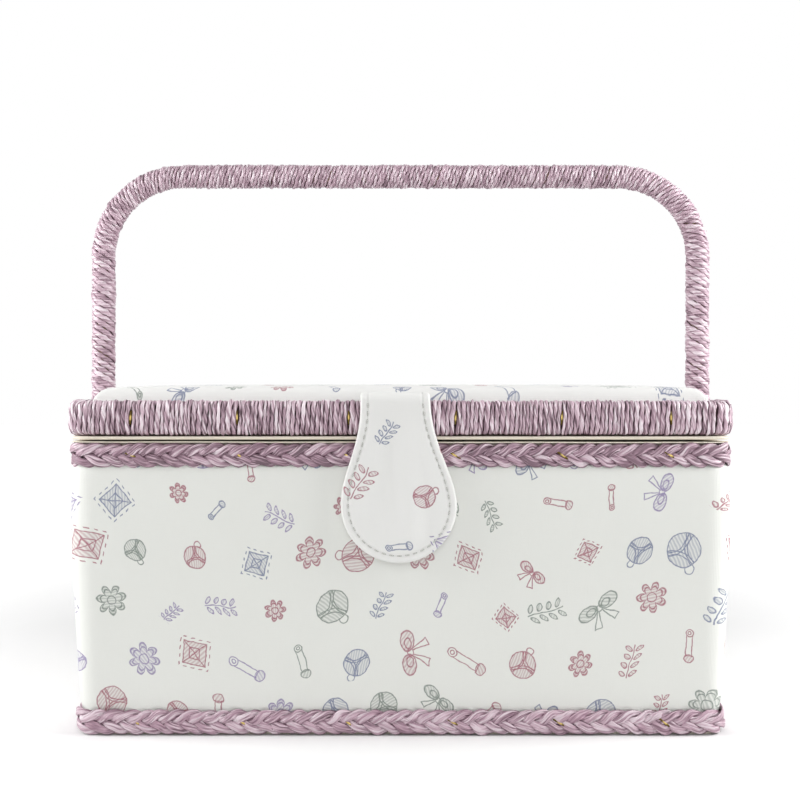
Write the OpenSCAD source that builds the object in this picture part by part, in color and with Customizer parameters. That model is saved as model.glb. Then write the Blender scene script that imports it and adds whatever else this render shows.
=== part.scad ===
// Sewing box: a cloth-covered board box with plaited raffia bands, a padded lid in a
// raffia-wound rim, a raffia-wound swing handle and a keyhole flap with a magnet.
// Millimetres, +Z up, origin at the centre of the base. The flap is at the front, -Y.

/* [Body] */
// Length over the top braid and the lid rim
box_l = 300; // [260:1:360]
// Depth over the top braid and the lid rim
box_d = 210; // [180:1:260]
// Height of the body from the floor to its turned-over lining
body_h = 132; // [110:1:170]
// How far each wall leans in from the top to the base
taper = 2.25; // [0:0.25:6]
// Plan radius of the wall board's corners
corner_r = 6; // [5:0.5:12]

/* [Walls] */
// Thickness of the wall board
board_t = 2.5; // [1.5:0.1:3]
// Thickness of the bottom board
bottom_t = 3; // [2:0.5:5]
// Thickness of the sheet under the box
base_sheet_t = 1; // [0.6:0.1:2]
// Thickness of the lining cloth on its card
lining_t = 1; // [0.6:0.1:1.5]
// Width of the lining's edge that shows outside the cover's top
lining_lip = 3; // [0.4:0.1:3.5]
// Thickness of the pad on the inside bottom
floor_pad_t = 3; // [2:0.5:6]
// Thickness of the outer cover where a braid draws it in
cover_t = 1.5; // [1:0.1:2.5]
// Thickness of the outer cover on its wadding, at the top of the swell
puff_t = 6.8; // [3:0.1:7]
// Thickness of the outer cover on its wadding, at the bottom of the swell
puff_low_t = 4; // [3:0.1:6]

/* [Braids] */
// Height of a plaited band
braid_h = 11; // [8:0.5:14]
// Thickness of a plaited band at its crown
braid_t = 4; // [3:0.1:5]
// Lift of the bottom braid off the floor
braid_lift = 0.5; // [0.3:0.1:0.9]

/* [Lid] */
// Gap between the closed lid and the body
lid_gap = 0.4; // [0.3:0.1:1]
// Thickness of the lined panel under the lid
lid_lining_t = 1.5; // [1.5:0.1:4]
// How far the lined panel stands in from the rim's face
lid_lining_inset = 3; // [2:0.5:7]
// Thickness of the lid board
lid_board_t = 3; // [2:0.5:5]
// Height of the wound rim
rim_h = 16; // [15:0.1:24]
// Thickness of the wound rim
rim_t = 8.5; // [7.5:0.1:9]
// Outer plan radius of the rim's corners
rim_r = 10.5; // [10.5:0.5:16]
// Thickness of the winding on the rim
rim_wrap_t = 1.6; // [1.4:0.1:2]
// Depth of the grooves between the rim's turns
rim_groove = 0.7; // [0.3:0.1:0.8]
// Turns of raffia on each half of the rim
rim_turns = 52; // [30:1:64]
// Thickness of the printed cotton on the lid pad
lid_cover_t = 1; // [0.6:0.1:2]
// How far the pad's edge is tucked below the rim's top
pad_tuck = 4; // [2:0.5:6]
// Rise of the pad's shoulder above the rim's top
pad_rise = 5; // [3:0.1:12]
// Width of the pad's rounded edge
pad_edge = 7; // [5:1:30]
// Extra rise of the pad from its shoulder to its middle
pad_crown = 2.8; // [0.5:0.1:6]

/* [Handle] */
// Diameter of the wound handle
handle_d = 12.6; // [12:0.1:16]
// Diameter of the bow inside the winding
handle_core_d = 9; // [7:0.1:9.4]
// Height of the grip's centre line above the pivots
handle_rise = 128; // [120:1:160]
// Centre-line radius of the bow's bends
handle_bend_r = 43; // [25:1:60]
// Gap between the handle's legs and the rim
handle_gap = 3.4; // [2.5:0.1:6]
// Turns of raffia on the handle
handle_turns = 96; // [40:1:100]
// Depth of the grooves between the handle's turns
handle_groove = 0.6; // [0.3:0.1:0.7]
// Diameter of the eye at each end of the bow
eye_d = 14; // [12:0.5:15]
// Width of the eye along its pivot
eye_w = 10; // [9.5:0.1:12]

/* [Pivots] */
// Diameter of the pivot screws
screw_d = 4; // [3:0.1:5]
// Diameter of the pivot screws' heads
screw_head_d = 9; // [7:0.5:12]
// Height of the pivot screws' heads
screw_head_t = 2; // [1.5:0.1:3]
// Diameter of the spacers between eye and rim
spacer_d = 9; // [7:0.5:11]

/* [Hinges] */
// Width of a hinge
hinge_w = 24; // [18:1:36]
// Height of the leaf on the lid rim
lid_leaf_h = 12; // [9:0.5:14]
// Height of the leaf on the top braid
body_leaf_h = 9; // [7:0.5:10]
// Thickness of the hinge leaves
leaf_t = 0.8; // [0.6:0.1:1]
// Diameter of the hinge knuckles
knuckle_d = 3.5; // [3.2:0.1:4]
// Diameter of the hinge pins
hinge_pin_d = 2; // [1.5:0.1:2.2]
// Diameter of the hinge nails' heads
nail_head_d = 3.2; // [2.4:0.1:4]
// Diameter of the hinge nails
nail_d = 1.2; // [0.8:0.1:1.6]
// Length of the hinge nails under their heads
nail_l = 6; // [4:0.5:7]

/* [Flap] */
// Width of the flap where it folds over the rim
flap_neck_w = 28.8; // [20:0.1:40]
// Radius of the flap's round end
flap_end_r = 25.7; // [22:0.1:32]
// Length of the flap below its fold
flap_l = 74; // [66:0.5:90]
// Thickness of the flap's padded front layer
flap_front_t = 2; // [1.8:0.1:3]
// Thickness of the flap's back layer
flap_back_t = 1; // [0.6:0.1:1.5]
// Gap between the flap and the rim's face
flap_gap = 0.6; // [0.5:0.1:2]
// Diameter of the magnet in the flap
magnet_d = 14; // [10:0.5:20]
// Thickness of the magnet in the flap
magnet_t = 1.2; // [0.8:0.1:1.4]
// Diameter of the catch plate on the body
catch_d = 18; // [12:0.5:22]
// Diameter of the catch plate's stem
catch_stem_d = 5; // [3:0.5:8]

/* [Staples] */
// Length of a staple's crown
staple_l = 6; // [4:0.5:8]
// Thickness of the staples' wire
staple_wire = 0.9; // [0.6:0.1:1.2]
// Length of a staple's legs
staple_leg = 5; // [4:0.5:6]
// Distance between staples
staple_pitch = 48; // [42:1:60]
// Lean of the braids' staples, along their strands
staple_lean = 28; // [0:1:45]

/* [Hidden] */
$fn = 48;

// Colours of the cloths, the raffia, the boards and the metals
cotton_c = [0.91, 0.91, 0.89];
cream_c = [0.88, 0.85, 0.74];
raffia_c = [0.74, 0.62, 0.72];
board_c = [0.62, 0.56, 0.48];
foam_c = [0.96, 0.95, 0.90];
cane_c = [0.78, 0.66, 0.48];
brass_c = [0.83, 0.68, 0.35];
steel_c = [0.75, 0.76, 0.78];

// Clearance between pieces that seat on each other
seat = 0.3;
// Radial clearance of a pin that turns in its bore
run_fit = 0.05;
// Clearance between a glued panel and its frame
glue_fit = 0.1;

// Segments in each rounded corner of the walls
corner_steps = 6;
// Levels of the cover between the braids, and of a braid's round face
puff_levels = 11;
braid_levels = 7;
// How square the wadding's swell and the braid's face are
puff_power = 0.25;
braid_power = 4;
// How flat a braid's edges are, as a share of its thickness
braid_edge = 0.45;

// Heights of the wall, the braids and the floor inside
wall_z0 = base_sheet_t;
wall_z1 = body_h - lining_t;
floor_z = wall_z0 + bottom_t;
low_braid_z1 = braid_lift + braid_h;
top_braid_z0 = wall_z1 - braid_h;

// Half sizes of the wall board's outer face at height z
function wall_half(z) =
    [box_l, box_d] / 2 - (braid_t + cover_t + taper * (1 - z / wall_z1)) * [1, 1];

// Rounded rectangle of half sizes h and radius r at height z
function round_rect(h, r, z) = [
    for (q = [0 : 3])
        let (sx = q == 0 || q == 3 ? 1 : -1, sy = q < 2 ? 1 : -1)
        for (i = [0 : corner_steps])
            let (a = 90 * (q + i / corner_steps))
            [sx * (h.x - r) + r * cos(a), sy * (h.y - r) + r * sin(a), z]
];

// Ring round the box at distance o outside the wall board's face
function wall_ring(o, z) = round_rect(wall_half(z) + o * [1, 1], corner_r + o, z);

// Thickness of the cover at height z, swelling between the two braids
function cover_at(z) =
    let (u = (z - low_braid_z1) / (top_braid_z0 - low_braid_z1))
    let (full = puff_low_t + (puff_t - puff_low_t) * u - cover_t)
    u <= 0 || u >= 1 ? cover_t : cover_t + full * pow(sin(180 * u), puff_power);

// Thickness of a braid at share u of its height
function braid_at(u) = braid_t * (braid_edge + (1 - braid_edge) * (1 - pow(abs(2 * u - 1), braid_power)));

// Triangles between ring k and ring m of rings with n points
function skin(k, m, n) = [
    for (i = [0 : n - 1])
        let (a = k * n + i, b = k * n + (i + 1) % n, c = m * n + (i + 1) % n, d = m * n + i)
        each [[a, c, b], [a, d, c]]
];

// Band round the box: a closed section of [distance from the wall, height] points
module band(section) {
    rings = [for (p = section) wall_ring(p[0], p[1])];
    n = len(rings[0]);
    m = len(rings);
    polyhedron([for (r = rings) each r], [for (k = [0 : m - 1]) each skin(k, (k + 1) % m, n)]);
}

// Solid skinned over a stack of level rings, closed at both ends
module loft(rings) {
    n = len(rings[0]);
    m = len(rings);
    first = [for (i = [0 : n - 1]) i];
    last = [for (i = [n - 1 : -1 : 0]) (m - 1) * n + i];
    sides = [for (k = [0 : m - 2]) each skin(k, k + 1, n)];
    polyhedron([for (r = rings) each r], concat([first], sides, [last]));
}

// Plate with rounded corners, standing on z
module plate(h, r, z, t) {
    translate([0, 0, z]) linear_extrude(t) {
        square([2 * (h.x - r), 2 * h.y], center = true);
        square([2 * h.x, 2 * (h.y - r)], center = true);
        for (sx = [-1, 1]) for (sy = [-1, 1]) translate([sx * (h.x - r), sy * (h.y - r)]) circle(r);
    }
}

// Pieces of the box body

module base_sheet() {
    color(cream_c) plate(wall_half(0) + cover_t * [1, 1], corner_r + cover_t, 0, base_sheet_t);
}

module bottom_board() {
    inset = board_t + glue_fit;
    color(board_c) plate(wall_half(wall_z0) - inset * [1, 1], corner_r - inset, wall_z0, bottom_t);
}

module wall_board() {
    color(board_c) band([[0, wall_z0], [0, wall_z1], [-board_t, wall_z1], [-board_t, wall_z0]]);
}

module body_cover() {
    low = low_braid_z1;
    step = (top_braid_z0 - low) / puff_levels;
    swell = [for (i = [0 : puff_levels]) [cover_at(low + i * step), low + i * step]];
    color(cotton_c) band(concat([[0, wall_z1], [0, wall_z0], [cover_t, wall_z0]], swell, [[cover_t, wall_z1]]));
}

module wall_lining() {
    outer = -board_t - glue_fit;
    inner = outer - lining_t;
    lip = cover_t + lining_lip;
    color(cream_c) band([
        [outer, floor_z], [outer, wall_z1], [lip, wall_z1], [lip, body_h], [inner, body_h], [inner, floor_z]
    ]);
}

module floor_pad() {
    inset = board_t + glue_fit + lining_t + seat;
    color(cream_c) plate(wall_half(floor_z) - inset * [1, 1], corner_r - inset, floor_z, floor_pad_t);
}

module braid(z) {
    face = [for (i = [0 : braid_levels]) let (u = i / braid_levels) [cover_t + braid_at(u), z + u * braid_h]];
    color(raffia_c) band(concat([[cover_t, z + braid_h], [cover_t, z]], face));
}

module top_braid() {
    braid(top_braid_z0);
}

module bottom_braid() {
    braid(braid_lift);
}

// Staples

// How far the wire stands out of the face, and how far the last staple is from a corner
staple_proud = staple_wire / 3;
staple_end = 30;
// Lean of the rim's staples, which stand between its turns
upright = 90;

// Staples on half a run, and the step between them, nearest to the pitch
function staple_count(run) = max(1, round((run - staple_end) / staple_pitch + 1 / 2));
function staple_step(run) = (run - staple_end) / (staple_count(run) - 1 / 2);

// Staple in a front face, its crown turned by lean from level
module staple(lean) {
    rotate([0, lean, 0]) translate([-staple_l / 2, -staple_proud, -staple_wire / 2]) {
        cube([staple_l, staple_wire, staple_wire]);
        for (x = [0, staple_l - staple_wire]) translate([x, 0, 0]) cube([staple_wire, staple_leg, staple_wire]);
    }
}

// Staples all round a band whose face has half sizes h, at height z
module staple_round(h, z, lean) {
    for (turn = [0 : 3]) {
        run = turn % 2 == 0 ? h.x : h.y;
        face = turn % 2 == 0 ? h.y : h.x;
        n = staple_count(run);
        for (i = [-n : n - 1])
            rotate(90 * turn) translate([(i + 1 / 2) * staple_step(run), -face, z]) staple(lean);
    }
}

module braid_staples(z) {
    mid = z + braid_h / 2;
    color(brass_c) staple_round(wall_half(mid) + (cover_t + braid_t) * [1, 1], mid, staple_lean);
}

module top_braid_staples() {
    braid_staples(top_braid_z0);
}

module bottom_braid_staples() {
    braid_staples(braid_lift);
}

// Heights of the lid

lid_z0 = body_h + lid_gap;
lid_board_z = lid_z0 + lid_lining_t;
pad_z0 = lid_board_z + lid_board_t;
rim_z0 = lid_board_z + seat;
rim_z1 = rim_z0 + rim_h;
pivot_z = rim_z0 + rim_h / 2;
// Half sizes and corner radius of what fills the rim
lid_in = [box_l, box_d] / 2 - (rim_t + seat) * [1, 1];
lid_in_r = rim_r - rim_t - seat;

module lid_lining() {
    h = [box_l, box_d] / 2 - lid_lining_inset * [1, 1];
    color(cream_c) plate(h, rim_r - lid_lining_inset, lid_z0, lid_lining_t);
}

module lid_board() {
    color(board_c) plate(lid_in, lid_in_r, lid_board_z, lid_board_t);
}

// Height of the lid cover at inset o: a rounded shoulder, then a slow crown
pad_round = 2.5;
function pad_at(o) =
    rim_z1 - pad_tuck + (pad_tuck + pad_rise) * (1 - pow(1 - min(o / pad_edge, 1), pad_round))
    + pad_crown * (1 - pow(1 - o / lid_in.y, 2));

// Ring of the pad at inset o, with corners that round off inwards
function pad_ring(o, z) =
    let (h = lid_in - o * [1, 1])
    round_rect(h, min(lid_in_r + o, h.y - seat), z);

// Insets of the rings: close together on the shoulder, wide on the crown
pad_shoulder = [for (u = [0, 0.08, 0.2, 0.38, 0.62, 1]) u * pad_edge];
pad_middle = [for (u = [0.3, 0.62, 1]) pad_edge + u * (lid_in.y - 2 * pad_edge / 3 - pad_edge)];
pad_insets = concat(pad_shoulder, pad_middle);
pad_skin = concat([pad_ring(0, pad_z0)], [for (o = pad_insets) pad_ring(o, pad_at(o))]);
pad_core = concat(
    [pad_ring(lid_cover_t, pad_z0)],
    [for (o = pad_insets) pad_ring(o + lid_cover_t, pad_at(o) - lid_cover_t)]
);

module lid_pad() {
    color(foam_c) loft(pad_core);
}

module lid_cover() {
    last = len(pad_core) - 1;
    color(cotton_c) loft(concat([for (i = [last : -1 : 0]) pad_core[i]], pad_skin));
}

// Raffia windings: a sleeve along a U-shaped path whose face is one unbroken spiral ridge

// Point and heading at distance s along a U of two legs, two bends of radius r and a span
function u_length(leg, r, span) = 2 * leg + PI * r + span;
function u_at(s, leg, r, span) =
    let (bend = PI * r / 2, s1 = leg + bend, s2 = s1 + span, s3 = s2 + bend)
    s <= leg ? [span / 2 + r, s, 90]
    : s <= s1 ? let (a = (s - leg) / bend * 90) [span / 2 + r * cos(a), leg + r * sin(a), 90 + a]
    : s <= s2 ? [span / 2 - (s - s1), leg + r, 180]
    : s <= s3 ? let (a = 90 + (s - s2) / bend * 90) [-span / 2 + r * cos(a), leg + r * sin(a), 90 + a]
    : [-span / 2 - r, leg - (s - s3), 270];

// Point q of a section, [outward, up], carried to place p of the path
function u_point(p, q) = [p[0] + q[0] * sin(p[2]), p[1] - q[0] * cos(p[2]), q[1]];

// Sides of a winding's section, and the bare ends of its path
sides = 8;
wind_end = 0.4;
// Bend angle between the rings of a winding's bore
bore_step = 15;

// Points of the ridge: two rows a turn, groove and crest, each side a step further along
function wind_points(leg, r, span, turns, crest, groove) =
    let (pitch = (u_length(leg, r, span) - 2 * wind_end) / (turns + (sides - 1) / sides))
    [
        for (k = [0 : 2 * turns])
            for (j = [0 : sides - 1])
                u_point(u_at(wind_end + (k / 2 + j / sides) * pitch, leg, r, span), k % 2 == 1 ? crest[j] : groove[j])
    ];

// Stations of the bore: the two ends and the steps of each bend
function bore_stations(leg, r, span) =
    let (bend = PI * r / 2, n = 90 / bore_step)
    concat(
        [0],
        [for (i = [0 : n]) leg + i * bend / n],
        [for (i = [0 : n]) leg + bend + span + i * bend / n],
        [u_length(leg, r, span)]
    );

// Least distance between neighbouring turns' crests
function wind_gap(points, turns) = min([
    for (k = [1 : 2 : 2 * turns - 3])
        for (j = [0 : sides - 1])
            norm(points[(k + 2) * sides + j] - points[k * sides + j])
]);

// Sleeve from ridge points, end rings and bore rings
module winding(leg, r, span, turns, crest, groove, bore) {
    length = u_length(leg, r, span);
    ridge = wind_points(leg, r, span, turns, crest, groove);
    stations = bore_stations(leg, r, span);
    rows = 2 * turns;
    a0 = len(ridge);
    b0 = a0 + sides;
    c0 = b0 + sides;
    e0 = c0 + (len(stations) - 1) * sides;
    ends = [for (s = [0, length]) for (q = groove) u_point(u_at(s, leg, r, span), q)];
    inside = [for (s = stations) for (q = bore) u_point(u_at(s, leg, r, span), q)];
    z = sides - 1;
    ridge_faces = [
        for (k = [0 : rows - 1])
            for (j = [0 : z - 1])
                let (v = k * sides + j, w = v + sides)
                each [[v, v + 1, w + 1], [v, w + 1, w]]
    ];
    seam_faces = [
        for (k = [0 : rows - 3])
            let (v = k * sides + z, w = v + sides, n = (k + 2) * sides)
            each [[v, n, n + sides], [v, n + sides, w]]
    ];
    start_faces = [for (j = [0 : z - 1]) each [[a0 + j, a0 + j + 1, j + 1], [a0 + j, j + 1, j]]];
    start_fan = [
        [a0 + z, a0, 0], [a0 + z, 0, sides], [a0 + z, sides, 2 * sides], [a0 + z, 2 * sides, z]
    ];
    t = rows * sides;
    end_faces = [for (j = [0 : z - 1]) each [[t + j, t + j + 1, b0 + j + 1], [t + j, b0 + j + 1, b0 + j]]];
    end_fan = [
        [t - 2 * sides + z, t, b0], [t - 2 * sides + z, b0, t - sides + z],
        [t - sides + z, b0, t + z], [t + z, b0, b0 + z]
    ];
    bore_faces = [
        for (k = [0 : len(stations) - 2])
            for (j = [0 : z])
                let (v = c0 + k * sides + j, n = c0 + k * sides + (j + 1) % sides)
                each [[v, n + sides, n], [v, v + sides, n + sides]]
    ];
    cap_faces = [
        for (j = [0 : z])
            let (n = (j + 1) % sides)
            each [
                [a0 + j, c0 + n, a0 + n], [a0 + j, c0 + j, c0 + n],
                [b0 + j, b0 + n, e0 + n], [b0 + j, e0 + n, e0 + j]
            ]
    ];
    polyhedron(
        concat(ridge, ends, inside),
        concat(ridge_faces, seam_faces, start_faces, start_fan, end_faces, end_fan, bore_faces, cap_faces)
    );
}

// Lid rim

// Section of half sizes n and b with chamfered corners c
function strip_section(n, b, c) = [
    [n, b - c], [n - c, b], [c - n, b], [-n, b - c], [-n, c - b], [c - n, -b], [n - c, -b], [n, c - b]
];

// Chamfers of the wound rim and of the strip's channel in it
rim_chamfer = 2.2;
channel_chamfer = 0.25;
// Bare run of the rim at each pivot
pivot_bare = spacer_d / 2 + 1;
rim_mid_r = rim_r - rim_t / 2;
rim_leg = box_d / 2 - rim_r - pivot_bare;
rim_span = box_l - 2 * rim_r;
rim_inside = rim_wrap_t + seat;

module rim_core() {
    h = [box_l, box_d] / 2 - rim_inside * [1, 1];
    w = rim_t - 2 * rim_inside;
    color(board_c) difference() {
        plate(h, rim_r - rim_inside, rim_z0 + rim_inside, rim_h - 2 * rim_inside);
        plate(h - w * [1, 1], rim_r - rim_inside - w, rim_z0, rim_h);
        translate([-box_l, 0, pivot_z]) rotate([0, 90, 0]) cylinder(d = screw_d + 2 * run_fit, h = 2 * box_l);
    }
}

module rim_wrap_half() {
    crest = strip_section(rim_t / 2, rim_h / 2, rim_chamfer);
    groove = strip_section(rim_t / 2 - rim_groove, rim_h / 2 - rim_groove, rim_chamfer);
    channel = strip_section(rim_t / 2 - rim_wrap_t, rim_h / 2 - rim_wrap_t, channel_chamfer);
    translate([0, pivot_bare, pivot_z]) winding(rim_leg, rim_mid_r, rim_span, rim_turns, crest, groove, channel);
}

module rim_wrap() {
    color(raffia_c) {
        rim_wrap_half();
        mirror([0, 1, 0]) rim_wrap_half();
    }
}

module rim_staples() {
    color(brass_c) staple_round([box_l, box_d] / 2, pivot_z, upright);
}

// Hinges: two butt hinges on the back, each between the last two staples

hinge_x = (staple_count(box_l / 2) - 1) * staple_step(box_l / 2);
hinge_face = box_d / 2 + glue_fit;
hinge_y = hinge_face + knuckle_d / 2;
hinge_z = body_h + lid_gap / 2;
// Gap beside and under the knuckles, and the width of the lid's middle knuckle
knuckle_gap = 0.2;
lid_knuckle_w = hinge_w / 3;
body_knuckle_w = (hinge_w - lid_knuckle_w) / 2 - knuckle_gap;
// Places of a leaf's two nails
nail_x = hinge_w / 4;

// Knuckle and the tongue of leaf that runs into it, from x over width w; up is 1 or -1
module knuckle(x, w, up) {
    leaf_z = up * (knuckle_d / 2 + knuckle_gap);
    difference() {
        union() {
            translate([x, hinge_y, hinge_z]) rotate([0, 90, 0]) cylinder(d = knuckle_d, h = w);
            translate([x, hinge_face, hinge_z + min(0, leaf_z)]) cube([w, leaf_t, abs(leaf_z)]);
        }
        translate([x - w, hinge_y, hinge_z]) rotate([0, 90, 0]) cylinder(d = hinge_pin_d + 2 * run_fit, h = 3 * w);
    }
}

// Flat leaf of height h, above the pin or below it, with two nail holes
module leaf(h, up) {
    z0 = hinge_z + up * (knuckle_d / 2 + knuckle_gap);
    difference() {
        translate([-hinge_w / 2, hinge_face, min(z0, z0 + up * h)]) cube([hinge_w, leaf_t, h]);
        for (s = [-1, 1])
            translate([s * nail_x, hinge_face - leaf_t, z0 + up * h / 2]) rotate([-90, 0, 0])
                cylinder(d = nail_d + 2 * run_fit, h = 3 * leaf_t);
    }
}

module hinge_body_leaf() {
    color(brass_c) {
        leaf(body_leaf_h, -1);
        knuckle(-hinge_w / 2, body_knuckle_w, -1);
        knuckle(hinge_w / 2 - body_knuckle_w, body_knuckle_w, -1);
    }
}

module hinge_lid_leaf() {
    color(brass_c) {
        leaf(lid_leaf_h, 1);
        knuckle(-lid_knuckle_w / 2, lid_knuckle_w, 1);
    }
}

module hinge_pin() {
    color(steel_c) translate([-hinge_w / 2, hinge_y, hinge_z]) rotate([0, 90, 0]) cylinder(d = hinge_pin_d, h = hinge_w);
}

// Round-headed nail driven in along -Y at height z
module nail(x, z) {
    head = nail_head_d / 4;
    translate([x, hinge_face + leaf_t, z]) rotate([-90, 0, 0]) {
        cylinder(d1 = nail_head_d, d2 = nail_head_d / 2, h = head);
        translate([0, 0, -nail_l]) cylinder(d = nail_d, h = nail_l);
    }
}

module hinge_nails(h, up) {
    z = hinge_z + up * (knuckle_d / 2 + knuckle_gap + h / 2);
    color(brass_c) for (side = [-1, 1]) for (s = [-1, 1]) nail(side * hinge_x + s * nail_x, z);
}

module hinge_body_leaf_left() {
    translate([-hinge_x, 0, 0]) hinge_body_leaf();
}

module hinge_body_leaf_right() {
    translate([hinge_x, 0, 0]) hinge_body_leaf();
}

module hinge_lid_leaf_left() {
    translate([-hinge_x, 0, 0]) hinge_lid_leaf();
}

module hinge_lid_leaf_right() {
    translate([hinge_x, 0, 0]) hinge_lid_leaf();
}

module hinge_pin_left() {
    translate([-hinge_x, 0, 0]) hinge_pin();
}

module hinge_pin_right() {
    translate([hinge_x, 0, 0]) hinge_pin();
}

module hinge_body_nails() {
    hinge_nails(body_leaf_h, -1);
}

module hinge_lid_nails() {
    hinge_nails(lid_leaf_h, 1);
}

// Handle

leg_x = box_l / 2 + handle_gap + handle_d / 2;
grip_z = pivot_z + handle_rise;
eye_in = leg_x - eye_w / 2;
handle_span = 2 * (leg_x - handle_bend_r);
// Where the winding starts above the eye
wrap_z0 = pivot_z + eye_d / 2 + seat;
handle_leg = grip_z - handle_bend_r - wrap_z0;
// Clearance of the winding's bore round the bow, with what the bore's steps cut off on a bend
bow_fit = glue_fit + (handle_bend_r + handle_core_d / 2) * (1 - cos(bore_step / 2));
// Share of a regular section's radius that its flats stand at
flat = cos(180 / sides);

module handle_side() {
    translate([leg_x, 0, pivot_z]) cylinder(d = handle_core_d, h = handle_rise - handle_bend_r);
    translate([leg_x - handle_bend_r, 0, grip_z - handle_bend_r]) rotate([90, 0, 0]) rotate_extrude(angle = 90)
        translate([handle_bend_r, 0]) circle(d = handle_core_d);
    translate([eye_in, 0, pivot_z]) rotate([0, 90, 0]) cylinder(d = eye_d, h = eye_w);
}

module handle_core() {
    color(cane_c) difference() {
        union() {
            handle_side();
            mirror([1, 0, 0]) handle_side();
            translate([-handle_span / 2, 0, grip_z]) rotate([0, 90, 0]) cylinder(d = handle_core_d, h = handle_span);
        }
        translate([-box_l, 0, pivot_z]) rotate([0, 90, 0]) cylinder(d = screw_d + 2 * run_fit, h = 2 * box_l);
    }
}

// Regular section whose flats stand at distance r
function round_section(r) = [for (j = [0 : sides - 1]) let (a = (j + 1 / 2) * 360 / sides) r / flat * [cos(a), sin(a)]];

module handle_wrap() {
    crest = round_section(handle_d / 2);
    groove = round_section(handle_d / 2 - handle_groove);
    bore = round_section(handle_core_d / 2 + bow_fit);
    color(raffia_c) translate([0, 0, wrap_z0]) rotate([90, 0, 0])
        winding(handle_leg, handle_bend_r, handle_span, handle_turns, crest, groove, bore);
}

// Pivots: a screw through the eye and a spacer into the rim's strip

core_face = box_l / 2 - rim_inside;
core_back = core_face - (rim_t - 2 * rim_inside);
screw_slot = 1;

module pivot_screw() {
    r = screw_head_d / 2;
    edge = screw_head_t / 3;
    color(brass_c) difference() {
        translate([leg_x + eye_w / 2 + seat, 0, pivot_z]) rotate([0, 90, 0]) union() {
            rotate_extrude() polygon([[0, 0], [r, 0], [r, edge], [r - edge, screw_head_t], [0, screw_head_t]]);
            translate([0, 0, core_back - leg_x - eye_w / 2 - seat])
                cylinder(d = screw_d, h = leg_x + eye_w / 2 + seat - core_back);
        }
        translate([leg_x + eye_w / 2 + seat + screw_head_t - edge, -screw_head_d, pivot_z - screw_slot / 2])
            cube([screw_head_t, 2 * screw_head_d, screw_slot]);
    }
}

module pivot_screw_right() {
    pivot_screw();
}

module pivot_screw_left() {
    mirror([1, 0, 0]) pivot_screw();
}

module pivot_spacer() {
    color(brass_c) translate([core_face + glue_fit, 0, pivot_z]) rotate([0, 90, 0]) difference() {
        cylinder(d = spacer_d, h = eye_in - seat - core_face - glue_fit);
        translate([0, 0, -spacer_d]) cylinder(d = screw_d + 2 * run_fit, h = 4 * spacer_d);
    }
}

module pivot_spacer_right() {
    pivot_spacer();
}

module pivot_spacer_left() {
    mirror([1, 0, 0]) pivot_spacer();
}

// Flap

flap_t = flap_front_t + flap_back_t;
fold_y = -(box_d / 2 + flap_gap + flap_t / 2);
fold_z = rim_z1 + seat + flap_t / 2;
// Height of the round end's centre, where the magnet sits
flap_end_z = fold_z - (flap_l - flap_end_r);
// Steps along the neck and round the end
neck_steps = 12;
end_steps = 24;

// Half width at share u of the way from the fold to the round end
function neck_half(u) = flap_neck_w / 2 + (flap_end_r - flap_neck_w / 2) * (3 * u * u - 2 * u * u * u);

// Keyhole outline, hanging from the origin, less a strip of height cut at its top
module keyhole(cut) {
    l = flap_l - flap_end_r;
    neck = [for (i = [0 : neck_steps]) let (y = cut + i * (l - cut) / neck_steps) [neck_half(y / l), -y]];
    end = [for (i = [1 : end_steps - 1]) let (a = i * 180 / end_steps) [flap_end_r * cos(a), -l - flap_end_r * sin(a)]];
    back = [for (i = [neck_steps : -1 : 0]) [-neck[i].x, neck[i].y]];
    polygon(concat(neck, end, back));
}

// Layer of the flap between distances y0 and y1 in front of its back face
module flap_layer(y0, y1, cut) {
    translate([0, fold_y + flap_t / 2 - y0, fold_z]) rotate([90, 0, 0]) linear_extrude(y1 - y0) keyhole(cut);
}

module flap_front() {
    color(cotton_c) difference() {
        union() {
            flap_layer(flap_back_t, flap_t, 0);
            translate([-flap_neck_w / 2, fold_y, fold_z]) rotate([0, 90, 0]) cylinder(d = flap_t, h = flap_neck_w);
        }
        translate([0, fold_y + flap_t / 2 - flap_back_t, flap_end_z]) rotate([90, 0, 0])
            cylinder(d = magnet_d + 2 * glue_fit, h = magnet_t + glue_fit);
    }
}

module flap_back() {
    color(cotton_c) flap_layer(0, flap_back_t, flap_t / 2 + glue_fit);
}

module flap_magnet() {
    color(steel_c) translate([0, fold_y + flap_t / 2 - flap_back_t, flap_end_z]) rotate([90, 0, 0])
        cylinder(d = magnet_d, h = magnet_t);
}

// Run of the anchor past the rim's inner edge, to where the pad rises above the rim's top
anchor_over = pad_edge * (1 - pow(pad_rise / (pad_tuck + pad_rise), 1 / pad_round));

module flap_anchor() {
    y0 = fold_y + flap_t / 2 + seat;
    y1 = -lid_in.y + anchor_over;
    color(cotton_c) translate([-flap_neck_w / 2, y0, rim_z1 + seat]) cube([flap_neck_w, y1 - y0, flap_t]);
}

// Catch plate on the front of the cover, with a stem through it to the wall board

module catch_plate() {
    z0 = flap_end_z - catch_d / 2;
    back = max([for (z = [z0, flap_end_z]) wall_half(z).y + cover_at(z)]) + glue_fit;
    front = box_d / 2 + flap_gap - seat;
    stem = back - wall_half(flap_end_z).y + board_t / 2;
    color(steel_c) translate([0, -back, flap_end_z]) rotate([90, 0, 0]) {
        cylinder(d = catch_d, h = front - back);
        translate([0, 0, -stem]) cylinder(d = catch_stem_d, h = stem);
    }
}

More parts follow.
